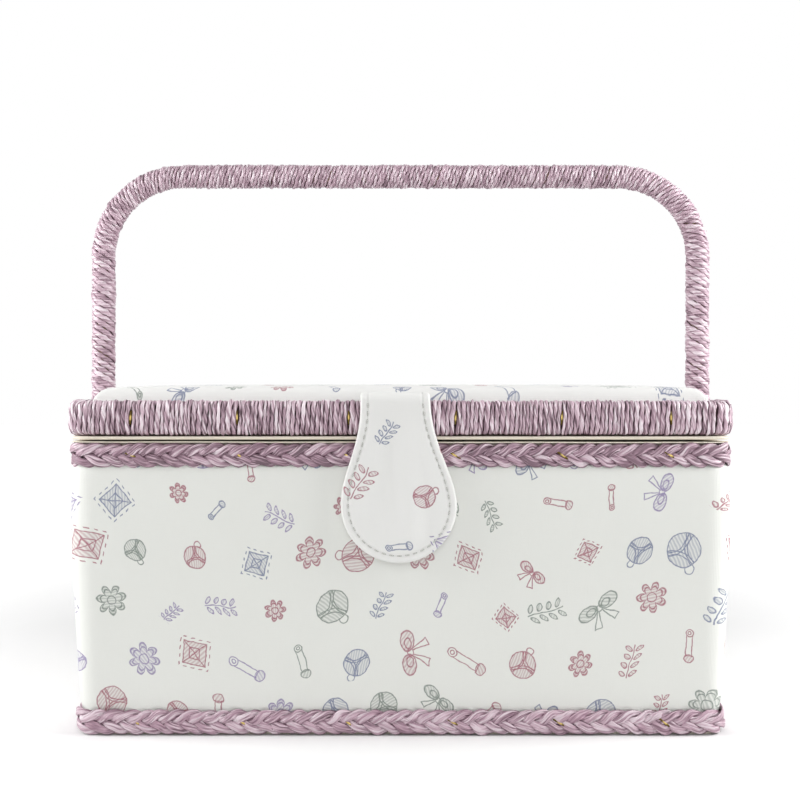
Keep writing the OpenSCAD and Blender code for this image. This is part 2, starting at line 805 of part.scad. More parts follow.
base_sheet();
bottom_board();
wall_board();
body_cover();
wall_lining();
floor_pad();
top_braid();
bottom_braid();
top_braid_staples();
bottom_braid_staples();
catch_plate();
hinge_body_leaf_left();
hinge_body_leaf_right();
hinge_pin_left();
hinge_pin_right();
hinge_body_nails();
lid_board();
lid_lining();
rim_core();
rim_wrap();
rim_staples();
lid_pad();
lid_cover();
hinge_lid_leaf_left();
hinge_lid_leaf_right();
hinge_lid_nails();
flap_anchor();
pivot_screw_left();
pivot_screw_right();
pivot_spacer_left();
pivot_spacer_right();
handle_core();
handle_wrap();
flap_front();
flap_back();
flap_magnet();

// Spacing of neighbouring turns, measured on the ridges' crests
handle_ridge = wind_points(
    handle_leg, handle_bend_r, handle_span, handle_turns,
    round_section(handle_d / 2), round_section(handle_d / 2 - handle_groove)
);
rim_ridge = wind_points(
    rim_leg, rim_mid_r, rim_span, rim_turns,
    strip_section(rim_t / 2, rim_h / 2, rim_chamfer),
    strip_section(rim_t / 2 - rim_groove, rim_h / 2 - rim_groove, rim_chamfer)
);
echo(handle_least_gap = wind_gap(handle_ridge, handle_turns), rim_least_gap = wind_gap(rim_ridge, rim_turns));
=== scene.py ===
import math
from functools import partialmethod

import bmesh
import bpy
import numpy as np
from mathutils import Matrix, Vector


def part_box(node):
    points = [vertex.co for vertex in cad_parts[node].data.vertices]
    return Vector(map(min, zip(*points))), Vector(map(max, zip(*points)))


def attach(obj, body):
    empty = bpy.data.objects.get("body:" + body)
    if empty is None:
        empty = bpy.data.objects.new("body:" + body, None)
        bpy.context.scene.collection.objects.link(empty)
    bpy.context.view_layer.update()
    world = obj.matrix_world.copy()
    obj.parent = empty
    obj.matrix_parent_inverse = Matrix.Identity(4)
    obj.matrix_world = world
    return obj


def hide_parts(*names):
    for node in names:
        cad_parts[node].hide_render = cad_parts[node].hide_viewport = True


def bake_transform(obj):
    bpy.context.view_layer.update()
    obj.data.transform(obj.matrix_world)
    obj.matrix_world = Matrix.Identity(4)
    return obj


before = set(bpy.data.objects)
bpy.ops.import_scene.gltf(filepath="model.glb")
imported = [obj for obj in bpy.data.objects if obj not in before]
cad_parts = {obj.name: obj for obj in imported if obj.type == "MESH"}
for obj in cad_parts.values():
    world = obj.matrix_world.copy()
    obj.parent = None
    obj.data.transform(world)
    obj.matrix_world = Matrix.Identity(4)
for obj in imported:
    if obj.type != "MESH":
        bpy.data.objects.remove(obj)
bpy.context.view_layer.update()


# Greyboard shell: the bottom, the four-sided wall and the lid's stiffener are cut from bookbinder's greyboard
# and glued edge to edge. Cloth, lining and raffia cover them.

def new_finish(name, **sockets):
    """A material with one Principled shader. sockets holds the values that are the same all over."""
    material = bpy.data.materials.new(name)
    material.use_nodes = True
    shader = material.node_tree.nodes["Principled BSDF"]
    for socket, value in sockets.items():
        shader.inputs[socket.replace("_", " ")].default_value = value
    return material, material.node_tree, shader


def put(tree, value, socket):
    """Links a shade or an output to a socket, or sets the socket to a plain value."""
    value = value.socket if isinstance(value, Shade) else value
    if isinstance(value, bpy.types.NodeSocket):
        tree.links.new(value, socket)
    else:
        socket.default_value = value


class Shade:
    """A shader value that is added, multiplied and compared like a number."""

    def __init__(self, tree, socket):
        self.tree, self.socket = tree, socket

    def math(self, kind, *others):
        node = self.tree.nodes.new("ShaderNodeMath")
        node.operation = kind
        for socket, other in zip(node.inputs, (self, *others)):
            put(self.tree, other, socket)
        return Shade(self.tree, node.outputs[0])

    __add__ = partialmethod(math, "ADD")
    __sub__ = partialmethod(math, "SUBTRACT")
    __mul__ = partialmethod(math, "MULTIPLY")
    __truediv__ = partialmethod(math, "DIVIDE")
    __abs__ = partialmethod(math, "ABSOLUTE")
    least = partialmethod(math, "MINIMUM")
    most = partialmethod(math, "MAXIMUM")

    def below(self, edge, soft):
        """1 where the value is under edge, falling to 0 over the width soft."""
        node = self.tree.nodes.new("ShaderNodeMapRange")
        node.interpolation_type = "SMOOTHSTEP"
        for socket, value in zip(("Value", "From Min", "From Max", "To Min", "To Max"),
                                 (self, edge - soft / 2, edge + soft / 2, 1.0, 0.0)):
            put(self.tree, value, node.inputs[socket])
        return Shade(self.tree, node.outputs[0])


def add_node(tree, kind, settings=(), **inputs):
    """A shader node with its settings made and its named inputs linked or set."""
    node = tree.nodes.new("ShaderNode" + kind)
    for setting, value in settings:
        setattr(node, setting, value)
    for socket, value in inputs.items():
        put(tree, value, node.inputs[socket])
    return node


def vector(tree, x, y, z=0.0):
    """A place from its three values."""
    return add_node(tree, "CombineXYZ", X=x, Y=y, Z=z).outputs[0]


def split(tree, place):
    """The three values of a place or a colour."""
    return [Shade(tree, s) for s in add_node(tree, "SeparateXYZ", Vector=place).outputs]


def noise(tree, place, scale, detail=2.0):
    """Cloudy value around a half at place, with scale clouds to a unit."""
    return Shade(tree, add_node(tree, "TexNoise", Vector=place, Scale=scale, Detail=detail).outputs[0])


def mix(tree, share, low, high):
    """Colour low where share is 0, high where it is 1."""
    node = tree.nodes.new("ShaderNodeMix")
    node.data_type = "RGBA"
    for socket, value in zip((node.inputs[0], node.inputs[6], node.inputs[7]), (share, low, high)):
        put(tree, value, socket)
    return node.outputs[2]


def raise_skin(tree, shader, height, depth):
    """Bump of that depth in metres from a height of about 0 to 1."""
    bump = add_node(tree, "Bump", Height=height, Distance=depth, Strength=1.0)
    tree.links.new(bump.outputs[0], shader.inputs["Normal"])


def object_mm(tree):
    """Object coordinates in millimetres."""
    place = tree.nodes.new("ShaderNodeTexCoord").outputs["Object"]
    return add_node(tree, "VectorMath", [("operation", "SCALE")], Vector=place, Scale=1000.0).outputs[0]


def finish_node(name, material):
    """Puts a material on a CAD node that stays as it is."""
    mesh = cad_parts[name].data
    mesh.materials.clear()
    mesh.materials.append(material)


greyboard, tree, shader = new_finish("greyboard", Roughness=0.92)
place = object_mm(tree)
pulp = noise(tree, place, 0.9, 5.0)
fleck = noise(tree, place, 4.0, 2.0).below(0.36, 0.05)
board = mix(tree, pulp, (0.30, 0.25, 0.19, 1), (0.46, 0.40, 0.31, 1))
put(tree, mix(tree, fleck * 0.5, board, (0.16, 0.13, 0.10, 1)), shader.inputs["Base Color"])
raise_skin(tree, shader, pulp, 0.0002)
for name in ("bottom_board", "wall_board", "lid_board"):
    finish_node(name, greyboard)


# Cream lining: thin cotton glued over card, on the inside of the walls, turned over the top edge so that a
# narrow cream lip shows under the lid, with a pad on the bottom and a sheet of the same cloth under the box.

MM = 0.001
STATIONS = 480
WALL_TOP = 131.0
WALL_LEAN = 2.25
WALL_HALF = (144.5, 99.5)
WALL_CORNER = 6.0


def round_box(share, half_x, half_y, radius):
    """Where share, 0 to 1, of the way round a rounded rectangle lies, from the middle of the back, left side
    first. Gives the corner centre or the foot on a side, as parts of the core's half sizes, and the outward
    normal: the normal's angle and the foot both run in straight lines between the ends of sides and arcs."""
    core_x, core_y, arc = half_x - radius, half_y - radius, math.pi * radius / 2
    ends = np.cumsum([0, core_x, arc, 2 * core_y, arc, 2 * core_x, arc, 2 * core_y, arc, core_x])
    run = np.where(share == 1, 1, share % 1) * ends[-1]
    foot_x = np.interp(run, ends, [0, -1, -1, -1, -1, 1, 1, 1, 1, 0])
    foot_y = np.interp(run, ends, [1, 1, 1, -1, -1, -1, -1, 1, 1, 1])
    turn = np.interp(run, ends, np.radians([90, 90, 180, 180, 270, 270, 360, 360, 450, 450]))
    return foot_x, foot_y, np.cos(turn), np.sin(turn), ends[-1]


def on_wall(share, z, out):
    """Point at height z and distance out from the leaning wall's board, share of the way round it."""
    foot_x, foot_y, nx, ny, _ = round_box(share, *WALL_HALF, WALL_CORNER)
    lean = WALL_LEAN * (1 - z / WALL_TOP)
    x = foot_x * (WALL_HALF[0] - WALL_CORNER - lean) + nx * (WALL_CORNER + out)
    y = foot_y * (WALL_HALF[1] - WALL_CORNER - lean) + ny * (WALL_CORNER + out)
    return np.stack([x, y, np.broadcast_to(z, x.shape)], -1)


def run_along(line):
    """Distance along a line of points, from its first to each of them."""
    return np.concatenate([[0], np.cumsum(np.linalg.norm(np.diff(line, axis=0), axis=1))])


def skin(name, patches, material):
    """One closed mesh from grids. A patch is (points, pattern): points[i, j] in mm over two parameters, and
    pattern[i, j] that point's place in mm on the flat material. Edges that meet are merged, so seams and
    poles close, and the faces are turned outwards."""
    points = np.concatenate([p.reshape(-1, 3) for p, _ in patches]) * MM
    pattern = np.concatenate([q.reshape(-1, 3) for _, q in patches])
    quads, first = [], 0
    for p, _ in patches:
        index = first + np.arange(p.shape[0] * p.shape[1]).reshape(p.shape[:2])
        corners = [index[:-1, :-1], index[1:, :-1], index[1:, 1:], index[:-1, 1:]]
        quads.append(np.stack(corners, -1).reshape(-1, 4))
        first += index.size
    quads = np.concatenate(quads)
    mesh = bpy.data.meshes.new(name)
    mesh.from_pydata(points.tolist(), [], quads.tolist())
    flat = mesh.attributes.new("pattern", "FLOAT_VECTOR", "CORNER")
    flat.data.foreach_set("vector", pattern[quads.ravel()].astype(np.float32).ravel())
    work = bmesh.new()
    work.from_mesh(mesh)
    bmesh.ops.remove_doubles(work, verts=work.verts, dist=2e-6)
    bmesh.ops.recalc_face_normals(work, faces=work.faces)
    work.to_mesh(mesh)
    work.free()
    mesh.polygons.foreach_set("use_smooth", np.ones(len(mesh.polygons), bool))
    mesh.materials.append(material)
    piece = bpy.data.objects.new(name, mesh)
    bpy.context.scene.collection.objects.link(piece)
    return piece


def flat_place(x, y, part=0.0):
    """Pattern coordinates from two or three arrays."""
    return np.stack(np.broadcast_arrays(x, y, part), -1).astype(float)


def new_group(name, inputs, outputs):
    """An empty shader node group with its named sockets."""
    group = bpy.data.node_groups.new(name, "ShaderNodeTree")
    for socket, kind in inputs:
        group.interface.new_socket(socket, in_out="INPUT", socket_type="NodeSocket" + kind)
    for socket, kind in outputs:
        group.interface.new_socket(socket, in_out="OUTPUT", socket_type="NodeSocket" + kind)
    return group, group.nodes.new("NodeGroupInput"), group.nodes.new("NodeGroupOutput")


def place_group(tree, group, **inputs):
    """A node group in a material, with its named inputs linked or set."""
    node = tree.nodes.new("ShaderNodeGroup")
    node.node_tree = group
    for socket, value in inputs.items():
        put(tree, value, node.inputs[socket])
    return node


def pattern_mm(tree):
    """The piece's own pattern attribute: mm along, mm across and the number of the part."""
    place = add_node(tree, "Attribute", [("attribute_name", "pattern")]).outputs["Vector"]
    return place, split(tree, place)


weave, inside, outside = new_group(
    "plain_weave", [("Place", "Vector"), ("Pitch", "Float")], [("Height", "Float"), ("Shade", "Float")])
warp, weft, _ = split(weave, inside.outputs["Place"])
turns = (Shade(weave, inside.outputs["Pitch"]) / math.pi).math("POWER", -1.0)
threads = abs((warp * turns).math("SINE")) * abs((weft * turns).math("SINE"))
slub_warp = noise(weave, vector(weave, warp * 2.6, weft * 0.16), 1.0)
slub_weft = noise(weave, vector(weave, warp * 0.16, weft * 2.6, 7.0), 1.0)
slubs = slub_warp * 0.5 + slub_weft * 0.5
put(weave, threads * 0.6 + slubs * 0.8, outside.inputs["Height"])
put(weave, slubs * 0.7 + threads * 0.3, outside.inputs["Shade"])

cream_lining, tree, shader = new_finish("cream_lining", Roughness=0.88, Sheen_Weight=0.15)
place, _ = pattern_mm(tree)
cloth = place_group(tree, weave, Place=place, Pitch=0.5)
soft = noise(tree, place, 0.03, 2.0)
cream = mix(tree, cloth.outputs["Shade"], (0.74, 0.67, 0.55, 1), (0.95, 0.895, 0.78, 1))
put(tree, mix(tree, soft * 0.3, cream, (0.80, 0.725, 0.59, 1)), shader.inputs["Base Color"])
raise_skin(tree, shader, cloth.outputs["Height"], 0.00012)


def arc_points(centre, radius, start, end, count):
    """count points on an arc, from start to end degrees."""
    turn = np.radians(np.linspace(start, end, count))
    return np.stack([centre[0] + radius * np.cos(turn), centre[1] + radius * np.sin(turn)], -1)


# The lining's section, as distance out from the board and height: up inside, over the edge and back down
lining_loop = np.array([
    (-2.6, 4.1), (-2.6, 131.02), (1.52, 131.02), (1.52, 128.0), (1.8, 128.0), (1.8, 130.6), (3.7, 131.0),
    *arc_points((4.1, 131.28), 0.22, -90, 90, 7), *arc_points((-2.8, 130.8), 0.7, 90, 180, 6),
    (-3.5, 4.1), (-2.6, 4.1)])
run = run_along(lining_loop)
LINING_STEP, LIP_LOW = 4.0, 130.5
fine_run = np.unique(np.concatenate([run, np.arange(0, run[-1], LINING_STEP)]))
lining_out, lining_z = (np.interp(fine_run, run, lining_loop[:, k])[None, :] for k in range(2))
share = np.linspace(0, 1, STATIONS + 1)[:, None]
# The cloth sags a little between its glued spots, and its lip lies lower towards the right of the front
fixed = np.sin(np.pi * np.minimum(lining_z, WALL_TOP + 1) / (WALL_TOP + 1)) ** 2
sag = -0.12 * np.sin(2 * np.pi * 23 * share + lining_z / 31) * fixed
lip_fall = (lining_z > LIP_LOW) * (0.16 * np.sin(2 * np.pi * share) + 0.05 * np.sin(2 * np.pi * 13 * share))
lining_points = on_wall(share, lining_z + lip_fall, lining_out + sag)
lining_girth = round_box(share, *WALL_HALF, WALL_CORNER)[4]
lining_flat = flat_place(share * lining_girth, lining_z)


def fit(piece, body, slot, *nodes):
    """Puts a piece in the place of CAD nodes, on the body that it moves with. slot is not used."""
    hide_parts(*nodes)
    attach(piece, body)


wall_lining = skin("wall_lining_cotton", [(lining_points, lining_flat)], cream_lining)
fit(wall_lining, "box", "cream_lining", "wall_lining")


def plate(name, node, radius, edge, material, crown=None, grow=0.0):
    """A flat piece in a CAD node's box, with an edge rounded by edge mm. Rings of the rounded rectangle shrink
    from the rim to its middle line, below and above; crown lifts the top by a function of the inset."""
    low, high = (np.array(corner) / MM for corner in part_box(node))
    half_x, half_y = high[0] + grow, high[1] + grow
    edge = min(edge, (high[2] - low[2]) / 2 - 0.01)
    arc = np.radians(np.linspace(0, 90, 6))
    inner = (half_y - edge) * (1 - (1 - np.linspace(1, 0, 26)) ** 1.6)
    inset = np.minimum(np.concatenate([edge + inner[:-1], edge * (1 - np.sin(arc))]), half_y)
    share = np.linspace(0, 1, STATIONS + 1)
    rows = []
    for o in inset:
        ring_x, ring_y = half_x - o, max(half_y - o, 1e-4)
        r = min(max(radius - o, 0.02), ring_y)
        foot_x, foot_y, nx, ny, _ = round_box(share, ring_x, ring_y, r)
        core_x, core_y = ring_x - r, ring_y - r
        rows.append(np.stack([foot_x * core_x + nx * r, foot_y * core_y + ny * r], -1))
    plan = np.stack(rows)
    lift = 0 if crown is None else crown(inset)[:, None]
    fall = np.sqrt(edge ** 2 - np.maximum(edge - inset, 0) ** 2)[:, None]
    heights = (np.broadcast_to(z, plan.shape[:2]) for z in (high[2] - edge + fall + lift, low[2] + edge - fall))
    top, bottom = (np.concatenate([plan, z[..., None]], -1) for z in heights)
    side = np.stack([top[-1], bottom[-1]])
    patches = [(p, flat_place(p[..., 0], p[..., 1])) for p in (top, bottom, side)]
    return skin(name, patches, material)


FLOOR_CROWN, FLOOR_SLOPE = 0.9, 18
base_sheet = plate("base_sheet_cotton", "base_sheet", 6.0, 0.4, cream_lining)
fit(base_sheet, "box", "cream_lining", "base_sheet")
floor_pad = plate("floor_pad_cotton", "floor_pad", 2.6, 1.4, cream_lining,
                  lambda inset: FLOOR_CROWN * (1 - np.exp(-inset / FLOOR_SLOPE)))
fit(floor_pad, "box", "cream_lining", "floor_pad")


# Body cover: printed cotton over thin wadding, wrapped round the four walls and drawn in under the two
# braids, so that it swells between them. The print is loose line drawings in rose, lavender, slate and sage.

sketch, inside, outside = new_group(
    "sewing_sketches", [("Place", "Vector")], [("Ink", "Float"), ("Tint", "Float"), ("Colour", "Color")])
CELL = (25.0, 23.0)
LINE, SOFT = 0.25, 0.32
WOBBLE, ROW_WAVE, ROW_WAVE_RUN, ROW_STAGGER = 1.5, 3.2, 21.0, 0.47
place = inside.outputs["Place"]
wobble = add_node(sketch, "TexNoise", Vector=place, Scale=0.22, Detail=2.0).outputs["Color"]
(plain_x, plain_y, _), (drift_x, drift_y, _) = split(sketch, place), split(sketch, wobble)
flat_x = plain_x + (drift_x - 0.5) * WOBBLE
flat_y = plain_y + (drift_y - 0.5) * WOBBLE + (flat_x / ROW_WAVE_RUN).math("SINE") * ROW_WAVE
row = (flat_y / CELL[1]).math("FLOOR")
across = flat_x / CELL[0] + row * ROW_STAGGER
column = across.math("FLOOR")


def cell_lots(column_from, row_from):
    """Three chance values for each cell of the print."""
    cell = vector(sketch, column + column_from, row + row_from)
    draw = add_node(sketch, "TexWhiteNoise", [("noise_dimensions", "2D")], Vector=cell)
    return split(sketch, draw.outputs["Color"])


pick, lean, colour_lot = cell_lots(3.5, 8.5)
shift_x, shift_y, size_lot = cell_lots(-6.5, 31.5)
# A drawing's size, and the room that it leaves to shift it in its cell
size = size_lot * 0.5 + 0.55
play = size * -14.0 + 18.9
cell_x = ((across - column - 0.5) * CELL[0] - (shift_x - 0.5) * play) / size
cell_y = (flat_y - (row + 0.5) * CELL[1] - (shift_y - 0.5) * play) / size
angle = (lean - 0.5) * 5.0
c, s = angle.math("COSINE"), angle.math("SINE")
x, y = cell_x * c + cell_y * s, cell_y * c - cell_x * s


def reach(a, b):
    """Distance from the origin."""
    return (a * a + b * b).math("SQRT")


def stroke(a, b, ax, ay, bx, by):
    """Distance to the line from (ax, ay) to (bx, by)."""
    dx, dy = bx - ax, by - ay
    along = ((a - ax) * dx + (b - ay) * dy) / (dx * dx + dy * dy)
    along = along.most(0.0).least(1.0)
    return reach(a - ax - along * dx, b - ay - along * dy)


def ring(a, b, cx, cy, r, wide=1.0):
    """Distance to a circle or to an ellipse wide times as wide as it is high."""
    return abs(reach((a - cx) / wide, b - cy) - r)


mirror = abs(x)
away = reach(x, y)
heading = y.math("ARCTAN2", x)
# A ball of yarn: a circle, arcs of thread inside it and a loose end
arcs = ring(x, y, 7.5, 4.5, 7.2).least(ring(x, y, 8.5, 5.5, 9.6)).least(ring(x, y, -8.5, 3.0, 7.4))
arcs = arcs.least(ring(x, y, -9.5, 3.5, 9.8)).least(ring(x, y, 0.5, -10.5, 7.8)).least(ring(x, y, 0.5, -11.5, 10.4))
BALL = 7.4
ball = arcs.most(away - BALL).least(abs(away - BALL)).least(ring(x, y, 5.9, -6.3, 2.0).most(away * -1.0 + BALL))
# A tied bow: two loops, their folds, a knot and two tails
loops = ring(mirror, y, 5.2, 1.0, 3.1, 1.45).least(ring(mirror, y, 3.9, 0.8, 1.5, 1.5))
tails = stroke(mirror, y, 0.8, -1.2, 3.2, -8.6).least(stroke(mirror, y, 1.3, -1.0, 6.4, -7.4))
bow = loops.least(tails).least(stroke(mirror, y, 3.2, -8.6, 6.4, -7.4)).least(abs(away - 1.4))
# A daisy: rounded petals about a ring, with a second line inside
petals = abs((heading * 3.5).math("COSINE")).math("POWER", 0.55)
blossom = away - petals * 4.6 - 2.8
daisy = (abs(blossom) * 0.6).least(abs(away - 2.2)).least((abs(away - petals * 3.0 - 2.7) * 0.7))
# A sprig: a bent stem with pairs of leaves
bend = (y * 0.2).math("SINE") * 1.6
side = abs(x - bend)
step = ((y + 9.0) / 4.4).math("FRACT") * 4.4 - 2.2
leaf_x, leaf_y = (side - 2.9) * 0.78 + (step - 0.6) * 0.62, (step - 0.6) * 0.78 - (side - 2.9) * 0.62
leaf, ends = reach(leaf_x, leaf_y * 2.1) - 2.1, abs(y) - 8.6
sprig = side.least(abs(leaf) * 0.7).most(ends)
# A closed safety pin: two wires, a coil and a cap
wires = stroke(x, abs(y), -6.0, 1.7, 5.5, 1.7)
cap = ring(x, y, 6.6, 0.0, 2.7, 0.8).least(stroke(x, abs(y), 5.2, 2.3, 5.2, 0.0))
pin = wires.least(cap).least(ring(x, y, -7.2, 0.0, 2.0)).least(ring(x, y, -7.2, 0.0, 0.9))
# A quilt patch: a square with crossed seams and a broken border
PATCH = 5.6
square = mirror.most(abs(y))
seams = (abs(x - y).least(abs(x + y)) * 0.71).most(square - PATCH)
broken = abs(square - 7.4) + ((x + y) * 1.6).math("SINE").below(0.0, 0.3) * 2.0
patch = abs(square - PATCH).least(seams).least(broken).least(abs(square - 2.6))
# Each motif's lines, and the part of it that is hatched
motifs = [
    (ball, away - BALL), (bow, reach((mirror - 5.2) / 1.45, y - 1.0) - 3.1), (daisy, blossom),
    (sprig, leaf.most(ends)), (pin, reach((x - 6.6) / 0.8, y) - 2.7), (patch, square - PATCH),
]
number = (pick * (len(motifs) - 0.001)).math("FLOOR")
line, body = None, None
for index, (edge, filled) in enumerate(motifs):
    chosen = abs(number - index).below(0.5, 0.1)
    line = edge * chosen if line is None else line + edge * chosen
    body = filled * chosen if body is None else body + filled * chosen
ink = (line * size).below(LINE, SOFT)
worn = noise(sketch, place, 0.9, 3.0)
put(sketch, ink * (worn * 0.8 + 0.45), outside.inputs["Ink"])
hatch = ((x * 0.8 + y) * 3.4).math("SINE") * 0.3 + 0.45
put(sketch, body.below(0.0, 0.5) * hatch, outside.inputs["Tint"])
inks = add_node(sketch, "ValToRGB", Fac=colour_lot)
inks.color_ramp.interpolation = "CONSTANT"
for stop, shade in zip((0.0, 0.38, 0.62, 0.82), (
        (0.36, 0.12, 0.16, 1), (0.17, 0.20, 0.32, 1), (0.27, 0.22, 0.40, 1), (0.20, 0.24, 0.21, 1))):
    stop_at = inks.color_ramp.elements[0] if stop == 0.0 else inks.color_ramp.elements.new(stop)
    stop_at.color = shade
inks.color_ramp.elements.remove(inks.color_ramp.elements[-1])
put(sketch, inks.outputs[0], outside.inputs["Colour"])


def printed(name, tone):
    """Cotton with the sketches printed on it, in a cloth of that tone."""
    material, tree, shader = new_finish(name, Roughness=0.86, Sheen_Weight=0.12)
    place, _ = pattern_mm(tree)
    cloth = place_group(tree, weave, Place=place, Pitch=0.42)
    art = place_group(tree, sketch, Place=place)
    ground = mix(tree, cloth.outputs["Shade"], tuple(0.94 * v for v in tone) + (1,), tuple(tone) + (1,))
    tinted = mix(tree, Shade(tree, art.outputs["Tint"]) * 0.62, ground, art.outputs["Colour"])
    put(tree, mix(tree, art.outputs["Ink"], tinted, art.outputs["Colour"]), shader.inputs["Base Color"])
    raise_skin(tree, shader, cloth.outputs["Height"], 0.00009)
    return material


printed_cotton = printed("printed_cotton", (0.83, 0.84, 0.80))
SWELL_LOW, SWELL_HIGH = 9.5, 121.5
SWELL_FOOT, SWELL_MORE, COVER_THICK, COVER_BACK = 2.4, 2.75, 1.45, 0.05


def swell(share, z):
    """Wadding under the cotton: thicker with height, drawn in at the braids by a low power of a sine, with
    slow hollows and small gathers that fade with the distance from a braid."""
    u = np.clip((z - SWELL_LOW) / (SWELL_HIGH - SWELL_LOW), 0, 1)
    full = np.sin(np.pi * u) ** 0.25
    near = np.exp(-np.minimum(z - SWELL_LOW, SWELL_HIGH - z).clip(0) / 7)
    slow = np.sin(2 * np.pi * 7 * share + z / 19) * np.sin(2 * np.pi * 4 * share - z / 27 + 1.3)
    gathers = np.sin(2 * np.pi * 61 * share + 2.5 * np.sin(2 * np.pi * 9 * share))
    return full * (SWELL_FOOT + SWELL_MORE * u + 0.25 * slow) + 0.16 * near * gathers * full


rise = SWELL_LOW + (SWELL_HIGH - SWELL_LOW) * (1 - np.cos(np.pi * np.linspace(0, 1, 56))) / 2
face = np.concatenate([[1.2, 5.0], rise, [124.0, 127.8]])
share = np.linspace(0, 1, STATIONS + 1)[:, None]
face_z = face[None, :] + 0 * share
front = on_wall(share, face_z, COVER_THICK + swell(share, face_z))
back = on_wall(share, face_z, COVER_BACK + 0 * face_z)
girth = round_box(share, *WALL_HALF, WALL_CORNER)[4] + 2 * math.pi * 4
patches = [(p, flat_place(share * girth, face[None, :])) for p in (front, back)]
for row_z in (0, -1):
    turned = np.stack([front[:, row_z], back[:, row_z]], 1)
    patches.append((turned, flat_place(share * girth, face[row_z] + np.array([[0.0, COVER_THICK - COVER_BACK]]))))
body_cover = skin("body_cover_cotton", patches, printed_cotton)
fit(body_cover, "box", "printed_cotton", "body_cover")


# Braids: flat five-strand plaits of dyed raffia, one round the foot and one round the top edge, their ends
# joined at the back. Glue and staples hold them over the cover's turned edges.

raffia_fibre, inside, outside = new_group(
    "raffia_fibre",
    [("Along", "Float"), ("Across", "Float"), ("Strand", "Float"), ("Twist", "Float"), ("Half", "Float"),
     ("Pale", "Float"), ("Depth", "Float")],
    [("Colour", "Color"), ("Height", "Float"), ("Rough", "Float")])
along, across, strand, twist, half, tone_with_painted_light, depth = (Shade(raffia_fibre, s) for s in inside.outputs[:7])
turned = across + along * twist
fibres = noise(raffia_fibre, vector(raffia_fibre, along * 0.12, turned * 1.9, strand * 7.3), 1.0, 2.0)
ribbons = noise(raffia_fibre, vector(raffia_fibre, along * 0.06, turned * 0.95, strand * 3.1 + 40.0), 1.0, 1.0)
# The crease is a groove in the bump; in the tone below it is also darkened, as painted shade
crease = abs(ribbons - 0.5).below(0.03, 0.05)
dye = noise(raffia_fibre, vector(raffia_fibre, along * 0.03, strand * 11.7), 1.0, 2.0)
# Painted shade: a strand is darkened along its sides, where it turns under its neighbour and shade falls, some
# strands more than others
side = (abs(across) / half).below(0.8, 0.7) * -1.0 + 1.0
side_shade_amount = noise(raffia_fibre, vector(raffia_fibre, along * 0.05, strand * 5.9, 9.0), 1.0, 1.0)
streaks = fibres * 1.9 + ribbons * 1.3 + dye * 0.8 - 2.0 - crease * 0.25 - side * (side_shade_amount * 1.3 - 0.2)
tone = streaks * depth + tone_with_painted_light
ramp = add_node(raffia_fibre, "ValToRGB", Fac=tone)
for stop, shade in ((0.18, (0.22, 0.13, 0.17, 1)), (0.40, (0.43, 0.288, 0.352, 1)),
                    (0.60, (0.585, 0.42, 0.492, 1)), (0.80, (0.76, 0.60, 0.67, 1))):
    ramp.color_ramp.elements.new(stop).color = shade
ramp.color_ramp.elements[0].color = (0.055, 0.026, 0.038, 1)
ramp.color_ramp.elements[-1].color = (0.92, 0.825, 0.87, 1)
put(raffia_fibre, ramp.outputs[0], outside.inputs["Colour"])
put(raffia_fibre, fibres * 0.7 + ribbons * 0.9 - crease * 0.25, outside.inputs["Height"])
put(raffia_fibre, fibres * -0.4 + 0.55, outside.inputs["Rough"])


def raffia(name, twist, half, blush, tone_with_painted_light, depth):
    """Dyed raffia with fibres that run along the strand, slanted by its twist, in strands of that half width in
    mm, blush more pink, a middle tone raised by the next value, and with streaks of that depth. Between pieces that
    middle tone differs as painted light: paler for a piece that is lit more, darker for one in shade."""
    material, tree, shader = new_finish(name, Specular_IOR_Level=0.8)
    _, (along, across, strand) = pattern_mm(tree)
    straw = place_group(tree, raffia_fibre, Along=along, Across=across, Strand=strand, Twist=twist, Half=half,
                        Pale=tone_with_painted_light, Depth=depth)
    warm = noise(tree, vector(tree, along * 0.011, strand * 5.3), 1.0) * blush
    put(tree, mix(tree, warm, straw.outputs["Colour"], (0.40, 0.22, 0.30, 1)), shader.inputs["Base Color"])
    put(tree, straw.outputs["Rough"], shader.inputs["Roughness"])
    raise_skin(tree, shader, straw.outputs["Height"], 0.0006)
    return material


PLAIT_STRANDS, PLAIT_STEPS, PLAIT_SWAY, PLAIT_LIFT, PLAIT_OUT = 5, 30, 3.7, 1.2, 3.5
STRAND_WIDE, STRAND_THICK = 1.85, 0.78


def across_frame(line, outward):
    """For a line of points, the unit vectors across it in the surface and out of the surface."""
    ahead = np.gradient(line, axis=0)
    ahead /= np.linalg.norm(ahead, axis=-1, keepdims=True)
    wide = np.cross(outward, ahead)
    wide /= np.linalg.norm(wide, axis=-1, keepdims=True)
    return wide, np.cross(ahead, wide)


